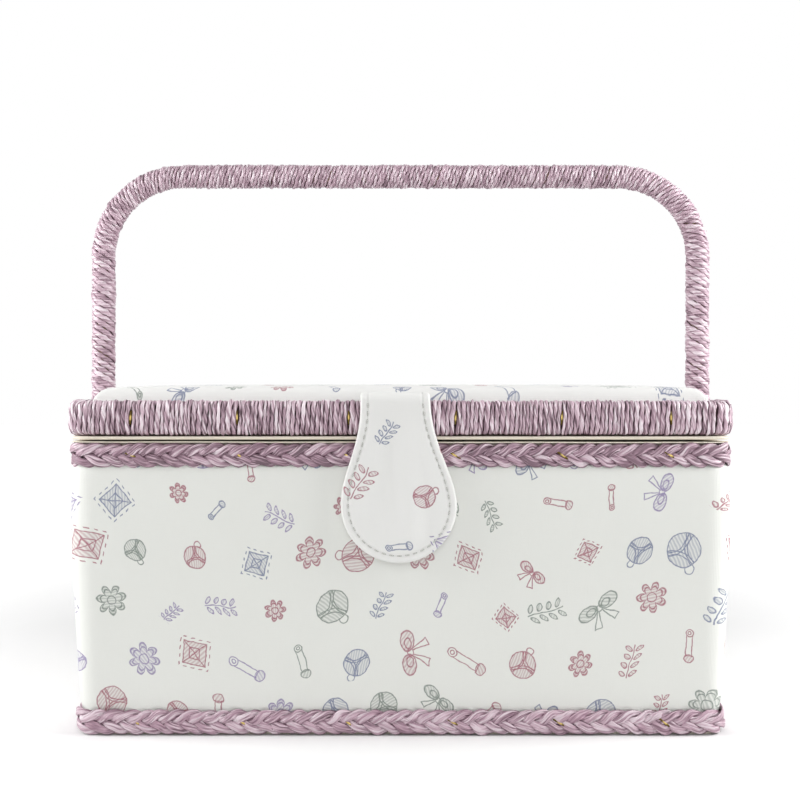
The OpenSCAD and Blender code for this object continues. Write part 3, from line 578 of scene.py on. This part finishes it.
def strand_skin(line, outward, half_wide, half_thick, count, number, closed=False, ribs=0.0, fold=0.0, lay=12.0):
    """A flattened strand round a line: an oval of half_wide by half_thick, whose height falls by ribs times a
    cosine, three to a width, for lengthwise grooves. It is a twisted fold: the oval grows and shrinks by fold
    times a cosine, two to a round, that turns once in lay mm. Its pattern is mm along, mm across from the middle
    of its face, and its number."""
    turn = np.linspace(0, 2 * np.pi, count + 1)
    if closed:
        wide, out = across_frame(np.concatenate([line[-2:-1], line, line[1:2]]),
                                 np.concatenate([outward[-2:-1], outward, outward[1:2]]))
        wide, out = wide[1:-1], out[1:-1]
        wide[-1], out[-1] = wide[0], out[0]
    else:
        wide, out = across_frame(line, outward)
    oval_x = np.cos(turn)
    oval_y = np.sin(turn) * (1 + ribs * (np.cos(3 * np.pi * oval_x) - 1))
    half_wide, half_thick = (np.broadcast_to(np.asarray(h, float).reshape(-1, 1, 1), (len(line), 1, 1))
                             for h in (half_wide, half_thick))
    run = run_along(line)
    twist = 2 * np.pi * run / run[-1] * max(1, round(run[-1] / lay))
    swollen = (1 + fold * np.cos(2 * (turn[None, :] - twist[:, None])))[..., None]
    points = (line[:, None] + half_wide * swollen * oval_x[None, :, None] * wide[:, None]
              + half_thick * swollen * oval_y[None, :, None] * out[:, None])
    girth = (turn / (2 * np.pi) * 4 - 1) * half_wide.mean()
    return points, flat_place(run[:, None], girth[None, :], number)


def plait(name, middle, repeats, tone_with_painted_light, depth):
    """Strands in step, each an even share of a repeat behind the last: a strand sways up and down by a sine that
    a third of its triple squares off, and passes over and under by a sine of twice the rate, so that it is in
    front on its way out to an edge."""
    share = np.linspace(0, 1, repeats * PLAIT_STEPS + 1)
    _, _, nx, ny, _ = round_box(share, *WALL_HALF, WALL_CORNER)
    outward = np.stack([nx, ny, 0 * nx], -1)
    wander = np.random.default_rng(repeats)
    patches = []
    for number in range(PLAIT_STRANDS):
        phase = 2 * np.pi * (share * repeats + number / PLAIT_STRANDS)
        uneven = sum(wander.uniform(0.05, 0.16) * np.sin(2 * np.pi * k * share + wander.uniform(0, 6.3))
                     for k in (23, 37, 61, 83, 109))
        leant = phase + 0.6 * uneven
        z = middle + PLAIT_SWAY * 0.9 * (np.sin(leant) - np.sin(3 * leant) / 9) + 0.35 * uneven
        out = PLAIT_OUT + PLAIT_LIFT * np.sin(2 * phase) + 0.2 * uneven
        line = on_wall(share, z, out)
        wide = STRAND_WIDE * (1 + 0.3 * uneven)
        patches.append(strand_skin(line, outward, wide, STRAND_THICK, 18, number + repeats, closed=True,
                                   ribs=0.12, fold=0.12, lay=21.0))
    piece = skin(name + "_strands", patches, raffia(name + "_raffia", 0.10, STRAND_WIDE, 0.8, tone_with_painted_light, depth))
    fit(piece, "box", "raffia", name)


# Painted light in the middle tones: the top braid is set darker as painted shade under the rim, and the bottom braid
# paler as painted light bounced up from the floor
plait("top_braid", 125.5, 29, 0.46, 1.8)
plait("bottom_braid", 6.0, 28, 0.75, 1.3)


# Staples: gilt wire staples driven through the braids along their strands, sunk between them so that only a
# glint of each crown shows. The rim has upright ones, between its turns.

# Painted shade and painted glint: the wire is darkened where it sinks into its slot and shade falls, with a painted
# bright glint somewhere on the crown
staple_gilt, tree, shader = new_finish("staple_gilt", Metallic=1.0, Roughness=0.3)
_, (along, across, number) = pattern_mm(tree)
spot = abs(along + noise(tree, vector(tree, number * 5.7, 3.0), 1.0) * 5.0 - 8.5).below(1.0, 1.2)
# Inside the spot the wire takes the gold of the painted glint, and outside it the painted shade of the slot
put(tree, mix(tree, spot, (0.11, 0.075, 0.022, 1), (0.62, 0.47, 0.16, 1)), shader.inputs["Base Color"])
raise_skin(tree, shader, noise(tree, object_mm(tree), 3.5, 2.0), 0.00005)


STAPLE_END, STAPLE_PITCH, STAPLE_WIRE = 30.0, 48.0, 0.5


def staple_places(half_x, half_y):
    """The side, 0 to 3 from the front to the right, and the distance from its middle, of every staple on a band.
    The steps run evenly from corner to corner."""
    places = []
    for side in range(4):
        run = half_y if side % 2 else half_x
        count = max(1, round((run - STAPLE_END) / STAPLE_PITCH + 0.5))
        places += [(side, (i + 0.5) * (run - STAPLE_END) / (count - 0.5)) for i in range(-count, count)]
    return places


def even(profile, count):
    """The corners of a profile as count points evenly spaced along it."""
    run = run_along(profile)
    at = np.linspace(0, run[-1], count)
    return np.stack([np.interp(at, run, values) for values in profile.T], -1)


def staple_row(name, places, half_x, half_y, z, body, lean, spread, sink):
    """Wire staples round a band: each is a round wire carried along a flat bridge, down at both ends, turned by
    lean degrees in the face, give or take spread, and sunk below it."""
    bridge = [(-3.0, -3.2), (-3.0, -0.5), (-2.75, 0.05), (0.0, 0.25), (2.75, 0.05), (3.0, -0.5), (3.0, -3.2)]
    path = even(np.array(bridge), 15)
    chance = np.random.default_rng(len(name))
    patches = []
    for number, (side, place) in enumerate(places):
        off = half_x if side % 2 else half_y
        tilt = np.radians(lean + chance.uniform(-spread, spread))
        line = np.stack([path[:, 0] * np.cos(tilt), sink - off - path[:, 1], path[:, 0] * np.sin(tilt)], -1)
        line += (place, 0, z)
        outward = np.tile([np.sin(tilt), 0.0, -np.cos(tilt)], (len(line), 1))
        fat = np.full(len(line), STAPLE_WIRE)
        fat[[0, -1]] = 0.0
        points, pattern = strand_skin(line, outward, fat, fat, 8, number)
        c, s = math.cos(side * math.pi / 2), math.sin(side * math.pi / 2)
        patches.append((points @ np.array([[c, s, 0], [-s, c, 0], [0, 0, 1.0]]), pattern))
    fit(skin(name + "_wire", patches, staple_gilt), body, "gilt_brass", name)


for name, half_x, half_y, z in (
        ("top_braid_staples", 149.9, 104.9, 125.5), ("bottom_braid_staples", 147.85, 102.85, 6.0)):
    staple_row(name, staple_places(half_x, half_y), half_x, half_y, z, "box", -28, 12, 1.1)


# Catch plate: a nickel-plated steel button with a stem, pressed through the front cover into the wall, for
# the flap's magnet to hold.

CATCH_Z = 103.7
nickel, tree, shader = new_finish("nickel", Metallic=1.0)
place = object_mm(tree)
x, _, z = split(tree, place)
turned_lines = noise(tree, vector(tree, reach(x, z - CATCH_Z) * 3.0, 0.0), 1.0)
rub = noise(tree, place, 0.4, 4.0)
put(tree, mix(tree, rub, (0.50, 0.50, 0.51, 1), (0.70, 0.70, 0.71, 1)), shader.inputs["Base Color"])
put(tree, rub * 0.2 + turned_lines * 0.2 + 0.12, shader.inputs["Roughness"])
raise_skin(tree, shader, turned_lines, 0.00006)
for name in ("catch_plate", "flap_magnet", "hinge_pin_left", "hinge_pin_right"):
    finish_node(name, nickel)


# Hinges: two small gilt butt hinges nailed to the back of the top braid and of the rim, turning on steel
# pins. Their leaves, nails and the handle's screws and spacers keep their CAD shapes.

gilt_brass, tree, shader = new_finish("gilt_brass", Metallic=1.0)
place = object_mm(tree)
handled = noise(tree, place, 0.35, 4.0)
specks = noise(tree, place, 3.5, 2.0)
put(tree, mix(tree, handled, (0.26, 0.17, 0.045, 1), (0.66, 0.48, 0.17, 1)), shader.inputs["Base Color"])
put(tree, handled * 0.25 + specks * 0.15 + 0.12, shader.inputs["Roughness"])
raise_skin(tree, shader, specks, 0.00005)
for name in ("hinge_body_leaf_left", "hinge_body_leaf_right", "hinge_lid_leaf_left", "hinge_lid_leaf_right",
             "hinge_body_nails", "hinge_lid_nails",
             "pivot_screw_left", "pivot_screw_right", "pivot_spacer_left", "pivot_spacer_right"):
    finish_node(name, gilt_brass)


# Lid lining: a card panel covered in the cream cotton, glued under the lid's board. It closes the lid from
# below and hides the pad's turned-in edges.

lid_lining = plate("lid_lining_cotton", "lid_lining", 8.0, 0.7, cream_lining, grow=1.4)
fit(lid_lining, "lid", "cream_lining", "lid_lining")


# Lid pad: a slab of foam under the printed cotton, held down all round inside the rim, so that it stands up
# steeply behind the rim and is nearly flat on top. The cotton is blown up as cloth to find its crown.

# A lighter copy of the body's printed cotton, for the lid pad and the flap: the extra lightness is painted light
lit_lid_cotton = printed("lit_lid_cotton", (0.86, 0.86, 0.84))
PAD_HALF = (141.1, 96.1)
PAD_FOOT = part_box("lid_cover")[0][2] / MM + 0.05
PAD_EDGE_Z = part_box("rim_wrap")[1][2] / MM - 4.0
PAD_SHOULDER, PAD_RISE, PAD_CROWN = 8.0, 8.6, 2.2
PAD_CELLS = (140, 100)


def pad_height(x, y):
    """Height of the pad's top over the inset from its edge: a steep rounded shoulder, then a slow crown. The inset
    is the lesser of those from the two sides, made round across the corners by a sum of inverse powers. Small
    gathers, a sum of two sines along the edge, fade with the inset."""
    ox, oy = (np.maximum(half - np.abs(v), 1e-3) for half, v in zip(PAD_HALF, (x, y)))
    inset = (ox ** -4 + oy ** -4) ** (-1 / 4)
    shoulder = 1 - (1 - np.minimum(inset / PAD_SHOULDER, 1)) ** 3
    edgewise = np.where(ox < oy, y, x)
    gathers = (np.sin(edgewise / 2.3) + np.sin(edgewise / 3.7 + 1.0)) * inset * np.exp(-inset / 4) * 0.05
    return PAD_EDGE_Z + PAD_RISE * shoulder + PAD_CROWN * (1 - (1 - np.minimum(inset / 30, 1)) ** 2) + gathers


def edged(count, half):
    """count steps from -half to half, closer together at the ends."""
    t = np.linspace(-1, 1, count + 1)
    return half * (0.4 * t + 0.6 * np.sin(np.pi * t / 2))


gx, gy = np.meshgrid(edged(PAD_CELLS[0], PAD_HALF[0]), edged(PAD_CELLS[1], PAD_HALF[1]), indexing="ij")
top = np.stack([gx, gy, pad_height(gx, gy)], -1)
bottom = np.stack([gx, gy, np.full_like(gx, PAD_FOOT)], -1)
border = [np.concatenate([g[:, 0], g[-1, :], g[::-1, -1], g[0, ::-1]])[:, None] for g in (gx, gy)]
skirt_z = PAD_FOOT + np.linspace(0, 1, 4)[None, :] * (pad_height(*border) - PAD_FOOT)
skirt = np.stack(np.broadcast_arrays(*border, skirt_z), -1)
patches = [(p, flat_place(p[..., 0] + 11.0, p[..., 1] + 5.0)) for p in (top, bottom, skirt)]
lid_cover = skin("lid_cover_cotton", patches, lit_lid_cotton)


def plump(piece, pressure, frames, cap, free):
    """Blows a closed piece up as cloth with no gravity. Points where free is false are held, and a point moves
    at most cap metres from where it was."""
    start = np.empty(len(piece.data.vertices) * 3, np.float32)
    piece.data.vertices.foreach_get("co", start)
    start = start.reshape(-1, 3)
    held = piece.vertex_groups.new(name="held")
    held.add(np.flatnonzero(~free(start)).tolist(), 1.0, "REPLACE")
    cloth = piece.modifiers.new("plump", "CLOTH")
    cloth.settings.vertex_group_mass = "held"
    cloth.settings.use_pressure = True
    cloth.settings.uniform_pressure_force = pressure
    cloth.settings.effector_weights.gravity = 0
    cloth.settings.tension_stiffness = cloth.settings.compression_stiffness = 25
    cloth.collision_settings.use_self_collision = False
    cloth.point_cache.frame_end = frames
    for f in range(1, frames + 1):
        bpy.context.scene.frame_set(f)
    blown = piece.evaluated_get(bpy.context.evaluated_depsgraph_get()).to_mesh()
    moved = np.empty_like(start)
    blown.vertices.foreach_get("co", moved.ravel())
    move = moved - start
    far = np.linalg.norm(move, axis=1, keepdims=True)
    move *= cap * np.tanh(far / cap) / np.maximum(far, 1e-9)
    piece.evaluated_get(bpy.context.evaluated_depsgraph_get()).to_mesh_clear()
    piece.modifiers.remove(cloth)
    piece.vertex_groups.remove(held)
    piece.data.vertices.foreach_set("co", (start + move).ravel())
    piece.data.update()
    bpy.context.scene.frame_set(1)


PAD_HELD = 12.0


def pad_free(points):
    """True for the points above the rim and more than the held width inside the pad's edges."""
    inside = np.abs(points[:, :2]) < (np.array(PAD_HALF) - PAD_HELD) * MM
    return (points[:, 2] > PAD_EDGE_Z * MM) & inside.all(1)


plump(lid_cover, pressure=4.0, frames=16, cap=0.0014, free=pad_free)
fit(lid_cover, "lid", "printed_cotton", "lid_cover", "lid_pad")


# Rim: the lid's edge strip of board, coloured nearly black as painted shade for the gaps between its turns, is
# wound turn by turn with twisted raffia, in two runs that stop either side of the handle's pivots. Each turn is
# pushed against the last, and parts a little round the staples.

# The core's nearly black colour is painted shade, seen only through the gaps between the raffia turns
shade_dark_board, tree, shader = new_finish("shade_dark_board", Roughness=0.9)
pulp = noise(tree, object_mm(tree), 0.9, 5.0)
put(tree, mix(tree, pulp, (0.035, 0.018, 0.022, 1), (0.10, 0.06, 0.06, 1)), shader.inputs["Base Color"])
raise_skin(tree, shader, pulp, 0.0002)
finish_node("rim_core", shade_dark_board)

wound_raffia = raffia("wound_raffia", 0.18, 1.03, 0.2, 0.66, 1.3)
RIM_HALF, RIM_CORNER = (145.75, 100.75), 6.25
rim_low, rim_high = (corner[2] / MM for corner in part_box("rim_wrap"))
RIM_MIDDLE, RIM_TALL = (rim_low + rim_high) / 2, (rim_high - rim_low) / 2 - 0.05
RIM_THICK, RIM_ROUND, RIM_STRAND, RIM_FACE = 4.2, 3.4, 1.1, (150.0, 105.0)
RIM_TURNS, RIM_STEPS, RIM_BARE = 236, 21, 5.6


def round_section(share, half_a, half_b, radius):
    """Point and outward normal share of the way round a rounded rectangle of half sizes a and b."""
    foot_a, foot_b, na, nb, _ = round_box(share, half_a, half_b, radius)
    return foot_a * (half_a - radius) + na * radius, foot_b * (half_b - radius) + nb * radius, na, nb


def uneven_turns(turns, steps, length, chance, spread):
    """Where a strand is along a run, turn by turn: turn widths differ by spread, add up to length, and change
    evenly from one turn to the next. Gives the place along, half width and lift for every step."""
    widths = 1 + spread * chance.uniform(-1, 1, turns + 1)
    ends = np.concatenate([[0], np.cumsum(widths)]) / widths.sum() * length
    middle, width = (ends[:-1] + ends[1:]) / 2, np.diff(ends)
    at = np.linspace(0, turns, turns * steps + 1)
    whole = np.arange(turns + 1)
    lift = chance.uniform(-1, 1, turns + 1)
    return at, np.interp(at, whole, middle), np.interp(at, whole, width) / 2, np.interp(at, whole, lift)


rim_core_x, rim_core_y, rim_arc = RIM_HALF[0] - RIM_CORNER, RIM_HALF[1] - RIM_CORNER, math.pi * RIM_CORNER / 2
rim_total = 4 * (rim_core_x + rim_core_y + rim_arc)
rim_quarter = rim_core_x + rim_arc + rim_core_y
RIM_MIDS = (rim_total / 2, rim_total / 2 + rim_quarter, 0.0, rim_quarter)
HALF_RUN = rim_total / 2 - 2 * RIM_BARE
half_starts = [RIM_MIDS[3] + RIM_BARE, RIM_MIDS[1] + RIM_BARE]
rim_turns = [uneven_turns(RIM_TURNS, RIM_STEPS, HALF_RUN, np.random.default_rng(40 + k), 0.36) for k in range(2)]


def between_turns(side, place):
    """Moves a staple's place along the rim to the nearest gap between two turns, at the outer face, which a turn
    reaches three quarters of the way round. Gives the place, the half of the rim and the gap's distance on it."""
    along_rim = RIM_MIDS[side] + place
    k = 0 if (along_rim - half_starts[0]) % rim_total < HALF_RUN else 1
    distance = (along_rim - half_starts[k]) % rim_total
    at, along, _, _ = rim_turns[k]
    face = np.interp(np.arange(RIM_TURNS) + 0.75, at, along)
    gaps = (face[1:] + face[:-1]) / 2
    gap = gaps[np.abs(gaps - distance).argmin()]
    return place + gap - distance, k, gap


def rim_run(number, slits):
    """One strand wound round the rim's section while it moves along half of the rim's rounded rectangle. At mid
    height the turns beside a slit lean away from it by a smooth step that fades with distance. On a corner's
    outer side a turn is wider, as the radius there is."""
    at, along, half, lift = rim_turns[number]
    a, b, na, nb = round_section(at, *(size - RIM_STRAND for size in (RIM_THICK, RIM_TALL, RIM_ROUND)))
    away = along[:, None] - np.asarray(slits)[None, :]
    parted = 0.75 * (np.tanh(away / 0.8) * np.exp(-(away / 4.5) ** 2)).sum(1) * np.exp(-(b / 4.2) ** 2) * (a > 0)
    foot_x, foot_y, nx, ny, _ = round_box((half_starts[number] + along + parted) / rim_total, *RIM_HALF, RIM_CORNER)
    grow = 0.22 * lift + 0.12 * np.sin(at * 2 * np.pi * 1.37)
    a, b = a + na * grow, b + nb * grow
    centre_x = foot_x * rim_core_x + nx * (RIM_CORNER + a)
    centre_y = foot_y * rim_core_y + ny * (RIM_CORNER + a)
    line = np.stack([centre_x, centre_y, RIM_MIDDLE + b], -1)
    outward = np.stack([na * nx, na * ny, nb], -1)
    thick = 1.05 + 0.12 * lift
    bent = np.minimum(np.abs(nx), np.abs(ny)) > 1e-6
    wide = half * (0.98 + 0.09 * np.sin(at * 2 * np.pi * 2.3 + number)) * (1 + 0.8 * bent * a / RIM_CORNER)
    wide[[0, -1]] = thick[[0, -1]] = 0.0
    turn_number = 300 * number + np.floor(at[:, None] - 0.25)
    return strand_skin(line, outward, wide, thick, 8, turn_number, fold=0.15, lay=10.0)


rim_spots = [(side, *between_turns(side, place)) for side, place in staple_places(*RIM_FACE)]
rim_patches = [rim_run(k, [gap for _, _, half, gap in rim_spots if half == k]) for k in range(2)]
rim_wrap = skin("rim_windings", rim_patches, wound_raffia)
fit(rim_wrap, "lid", "raffia", "rim_wrap")
staple_row("rim_staples", [spot[:2] for spot in rim_spots], *RIM_FACE, RIM_MIDDLE, "lid", 90, 4, 0.95)


# Flap: a keyhole of printed cotton over wadding, its edge turned in and stitched, glued on the rim behind the
# front edge. It folds over the rim and hangs down, and a magnet in its round end meets the catch plate.

anchor_low, anchor_high = (np.array(corner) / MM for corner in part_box("flap_anchor"))
flap_low, flap_high = (np.array(corner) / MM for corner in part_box("flap_front"))
FOLD_Y, FOLD_Z = -107.1, (anchor_low[2] + anchor_high[2]) / 2
FLAP_NECK, FLAP_END = 15.4, 25.7
FLAP_DROP = FOLD_Z - flap_low[2] - FLAP_END
FLAP_BACK, FLAP_BEND, FLAP_THICK, FLAP_HEM, FLAP_GROOVE = 9.4, 2.6, 1.45, 3.3, 0.42


def flap_path(v):
    """Along the flap from its glued end: flat on the rim, round the bend, then straight down. Gives the place
    and the outward normal in the plane across the box."""
    arc = FLAP_BEND * math.pi / 2
    turn = np.clip((v - FLAP_BACK) / arc, 0, 1) * math.pi / 2
    y = FOLD_Y + FLAP_BEND + np.maximum(FLAP_BACK - v, 0) - FLAP_BEND * np.sin(turn)
    z = FOLD_Z - FLAP_BEND + FLAP_BEND * np.cos(turn) - np.maximum(v - FLAP_BACK - arc, 0)
    return y, z, -np.sin(turn), np.cos(turn)


def flap_outline(t):
    """The keyhole's left half and right half as t goes 0 to 1: down the neck, round the end and up again. It
    leans a little to the left towards its glued end. Gives the edge and the point on the middle line that the
    edge shrinks to, as (across, along)."""
    neck = FLAP_BACK + FLAP_BEND * math.pi / 2 + FLAP_DROP - FLAP_BEND
    lengths = np.cumsum([0, neck, math.pi * FLAP_END, neck])
    run = t * lengths[-1]
    left = np.minimum(run, neck)
    right = np.minimum(lengths[-1] - run, neck)
    v = np.minimum(left, right)
    turn = np.clip((run - neck) / (math.pi * FLAP_END), 0, 1) * math.pi
    drop = np.clip((v - (neck - FLAP_DROP)) / FLAP_DROP, 0, 1) ** 1.25
    half = FLAP_NECK + (FLAP_END - FLAP_NECK) * drop ** 2 * (3 - 2 * drop)
    x = -half * np.cos(turn)
    leant = -0.8 - 2.0 * np.clip(1 - v / neck, 0, 1)
    return np.stack([x + leant, v + FLAP_END * np.sin(turn)], -1), np.stack([leant, v], -1)


def flap_face(t, k, sign):
    """Front or back of the flap: the edge shrunk by k towards the middle line. The edge is rounded, the hem
    stands up, a stitched groove runs inside it and slow ripples run down the middle."""
    edge, spine = flap_outline(t)
    flat = edge[:, None] + k[None, :, None] * (spine - edge)[:, None]
    inset = k[None, :] * np.linalg.norm(edge - spine, axis=-1)[:, None]
    x, v = flat[..., 0], flat[..., 1]
    height = FLAP_THICK * np.sqrt(1 - (1 - np.minimum(inset / 1.3, 1)) ** 2)
    if sign > 0:
        inner = np.clip((inset - FLAP_HEM) / 6, 0, 1)
        groove = FLAP_GROOVE * np.exp(-((inset - FLAP_HEM) / 0.55) ** 2)
        hanging = np.clip((v - 18) / 14, 0, 1)
        ripple = np.sin(x / 2.1 + 0.9 * np.sin(v / 17)) * 0.28 + np.sin(x / 4.3 - 1.1 + v / 40) * 0.42 + 0.25
        height = height - groove + inner * hanging * ripple + 0.12 * np.sin(v / 5 + x / 9) * inner
    height = height * np.sqrt(np.clip(v / 1.5, 0, 1))
    y, z, ny, nz = flap_path(v)
    points = np.stack([x, y + sign * ny * height, z + sign * nz * height], -1)
    return points, flat_place(x + 19.0, 131.0 - v)


t = np.linspace(0, 1, 261)
k = np.concatenate([np.linspace(0, 0.12, 9), np.linspace(0.14, 0.34, 12), np.linspace(0.38, 1, 22)])
flap = skin("flap", [flap_face(t, k, 1), flap_face(t, k, -1)], lit_lid_cotton)
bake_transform(flap)
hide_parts("flap_anchor", "flap_front", "flap_back")

# The thread's grey is partly painted shade: the pale thread is darkened for the shade of its needle holes
sewing_thread, tree, shader = new_finish("sewing_thread", Roughness=0.7, Sheen_Weight=0.3)
_, (along, across, _) = pattern_mm(tree)
ply = (along * 9.0 + across * 7.0).math("SINE") * 0.5 + 0.5
put(tree, mix(tree, ply, (0.42, 0.42, 0.40, 1), (0.70, 0.70, 0.66, 1)), shader.inputs["Base Color"])
raise_skin(tree, shader, ply, 0.0001)
STITCH, STITCH_GAP, STITCH_FROM, THREAD = 2.5, 1.0, 14.0, 0.32


def flap_stitches():
    """Short stitches in the flap's groove: each is a thread carried along a shallow arch, with both ends sunk."""
    fine = np.linspace(0, 1, 2000)
    edge, spine = flap_outline(fine)
    reach_in = FLAP_HEM / np.linalg.norm(edge - spine, axis=-1)[:, None]
    seam = edge + reach_in * (spine - edge)
    run = run_along(seam)
    begin = np.arange(STITCH_FROM, run[-1] - STITCH_FROM - STITCH, STITCH + STITCH_GAP)
    u = np.linspace(0, 1, 6)
    patches = []
    for number, b in enumerate(begin):
        at = b + u * STITCH
        x, v = np.interp(at, run, seam[:, 0]), np.interp(at, run, seam[:, 1])
        y, z, ny, nz = flap_path(v)
        lift = FLAP_THICK - FLAP_GROOVE + 0.38 * np.sin(np.pi * u) ** 0.6 - 0.1
        line = np.stack([x, y + ny * lift, z + nz * lift], -1)
        outward = np.stack([0 * x, ny, nz], -1)
        fat = np.full(6, THREAD)
        fat[[0, -1]] = 0.0
        patches.append(strand_skin(line, outward, fat, fat, 6, number))
    return skin("flap_stitches", patches, sewing_thread)


stitches = flap_stitches()
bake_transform(stitches)


# Handle: a bent cane bow with an eye at each end, wound from eye to eye with a flat band of six raffia
# strands, close on the grip and more steeply down the legs. Screws through the eyes turn it on the lid's rim.

cane, tree, shader = new_finish("cane", Roughness=0.55)
stretched = (value * k for value, k in zip(split(tree, object_mm(tree)), (2.2, 2.2, 0.15)))
grain = noise(tree, vector(tree, *stretched), 1.0, 3.0)
put(tree, mix(tree, grain, (0.36, 0.22, 0.10, 1), (0.62, 0.45, 0.26, 1)), shader.inputs["Base Color"])
raise_skin(tree, shader, grain, 0.0002)
finish_node("handle_core", cane)

# Painted light: the handle's raffia is set paler than the rim's, for the light of the side lamps on its legs
bow_raffia = raffia("bow_raffia", 0.30, 1.2, 0.3, 0.68, 1.1)
bow_low, bow_high = (np.array(corner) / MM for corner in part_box("handle_wrap"))
BOW_BEND, BOW_HALF = 43.0, 6.3
LEG_X = bow_high[0] - BOW_HALF - BOW_BEND
BOW_FOOT, BOW_TOP = bow_low[2] + 0.05, bow_high[2] - BOW_HALF - BOW_BEND
BOW_RADIUS, BOW_STRANDS, BOW_STEPS, BOW_END = 6.25, 6, 24, 1.6
GRIP_PITCH, LEG_PITCH, PITCH_FROM, PITCH_OVER = 12.0, 21.0, 10, 60


def bow_path(run):
    """Along the bow from the left eye over the grip to the right eye: the centre, the outward normal in its
    plane and the length. The foot of the normal and its angle run in straight lines between the bends."""
    leg, bend = BOW_TOP - BOW_FOOT, BOW_BEND * math.pi / 2
    ends = np.cumsum([0, leg, bend, 2 * LEG_X, bend, leg])
    foot_x = np.interp(run, ends, [-LEG_X, -LEG_X, -LEG_X, LEG_X, LEG_X, LEG_X])
    foot_z = np.interp(run, ends, [BOW_FOOT, BOW_TOP, BOW_TOP, BOW_TOP, BOW_TOP, BOW_FOOT])
    turn = np.interp(run, ends, np.radians([180, 180, 90, 90, 0, 0]))
    normal = np.stack([np.cos(turn), 0 * turn, np.sin(turn)], -1)
    return np.stack([foot_x, 0 * foot_x, foot_z], -1) + BOW_BEND * normal, normal, ends[-1]


def bow_strand(number):
    """One of the band's strands: it goes round the bow evenly while it moves along. One turn takes a close pitch
    on the grip and, by a smooth step over the bends, a longer one on the legs."""
    chance = np.random.default_rng(70 + number)
    length = bow_path(np.zeros(1))[2]
    fine = np.linspace(BOW_END, length - BOW_END, 3000)
    up = np.clip((np.minimum(fine, length - fine) - (BOW_TOP - BOW_FOOT) + PITCH_FROM) / PITCH_OVER, 0, 1)
    fine_pitch = LEG_PITCH + (GRIP_PITCH - LEG_PITCH) * up ** 2 * (3 - 2 * up)
    fine_turns = np.concatenate([[0], np.cumsum(np.diff(fine) / fine_pitch[1:])])
    at = np.linspace(-0.5, fine_turns[-1] + 0.5, int((fine_turns[-1] + 1) * BOW_STEPS))
    pitch = np.interp(at, fine_turns, fine_pitch)
    wave = sum(chance.uniform(0.3, 1) * np.sin(at * f + chance.uniform(0, 6.3)) for f in (0.31, 0.83, 1.7, 2.9, 5.3))
    run = np.clip(np.interp(at, fine_turns, fine) + 0.10 * wave, BOW_END, length - BOW_END)
    centre, normal, _ = bow_path(run)
    turn = 2 * np.pi * (at + number / BOW_STRANDS)
    outward = np.cos(turn)[:, None] * normal + np.sin(turn)[:, None] * np.array([0, 1.0, 0])
    thick = 1.0 + 0.07 * wave
    line = centre + outward * (BOW_RADIUS - 1.0 + 0.06 * wave)[:, None]
    lay = np.arctan2(pitch, 2 * math.pi * (BOW_RADIUS - 1))
    wide = pitch / BOW_STRANDS / 2 * np.cos(lay) * (1.0 + 0.05 * wave)
    wide[[0, -1]] = thick[[0, -1]] = 0.0
    return strand_skin(line, outward, wide, thick, 12, number, fold=0.17, lay=9.0)


handle_wrap = skin("handle_windings", [bow_strand(k) for k in range(BOW_STRANDS)], bow_raffia)
fit(handle_wrap, "handle", "raffia", "handle_wrap")


# Studio: a white floor that runs back without a horizon, soft lamps left, right and in front, and the camera
# straight in front at the height of the lid, as the photograph was taken.

def direct_rays(tree):
    """1 for what the camera sees, also by way of metal and glass, and 0 for light that falls on the object."""
    rays = tree.nodes.new("ShaderNodeLightPath").outputs
    camera, glossy, through = (Shade(tree, rays[f"Is {kind} Ray"]) for kind in ("Camera", "Glossy", "Transmission"))
    return camera.most(glossy).most(through)


scene = bpy.context.scene
scene.view_settings.view_transform = "Standard"
floor_white, tree, shader = new_finish(
    "floor_white", Roughness=0.9, Base_Color=(0.86, 0.86, 0.86, 1), Emission_Color=(1, 1, 1, 1))
# Far off, where the lamps don't reach, the floor is lifted to the white of the background
FLOOR_LIFT, LIFT_AT, LIFT_OVER, ROOM_LIGHT = 0.68, 450.0, 700.0, 0.37
far = reach(*split(tree, object_mm(tree))[:2]).below(LIFT_AT, LIFT_OVER) * -FLOOR_LIFT + FLOOR_LIFT
put(tree, direct_rays(tree) * far, shader.inputs["Emission Strength"])
floor_mesh = bpy.data.meshes.new("floor")
floor_mesh.from_pydata([(-6, -6, 0), (6, -6, 0), (6, 6, 0), (-6, 6, 0)], [], [(0, 1, 2, 3)])
floor_mesh.materials.append(floor_white)
floor = bpy.data.objects.new("floor", floor_mesh)
scene.collection.objects.link(floor)

sky = bpy.data.worlds.new("studio")
sky.use_nodes = True
scene.world = sky
back = sky.node_tree.nodes["Background"]
back.inputs["Color"].default_value = (1, 1, 1, 1)
put(sky.node_tree, direct_rays(sky.node_tree) * (1 - ROOM_LIGHT) + ROOM_LIGHT, back.inputs["Strength"])


def lamp(name, place, aim, size, power):
    """A square soft lamp at place, turned to aim."""
    data = bpy.data.lights.new(name, "AREA")
    data.shape, data.size, data.energy = "SQUARE", size, power
    obj = bpy.data.objects.new(name, data)
    obj.location = place
    obj.rotation_euler = (Vector(aim) - Vector(place)).to_track_quat("-Z", "Y").to_euler()
    scene.collection.objects.link(obj)


lamp("lamp_left", (-0.62, -0.15, 0.38), (0, -0.05, 0.14), 0.35, 3.3)
lamp("lamp_right", (0.62, -0.15, 0.38), (0, -0.05, 0.14), 0.35, 3.7)
lamp("lamp_front", (0.0, -1.10, 0.80), (0, 0, 0.12), 0.8, 3.1)

camera = bpy.data.cameras.new("camera")
camera.lens, camera.sensor_width = 50.18, 36.0
camera.clip_start, camera.clip_end = 0.01, 50.0
eye = bpy.data.objects.new("camera", camera)
eye.location = (-0.0003, -0.600, 0.1501)
eye.rotation_euler = (math.pi / 2, 0, 0)
scene.collection.objects.link(eye)
scene.camera = eye
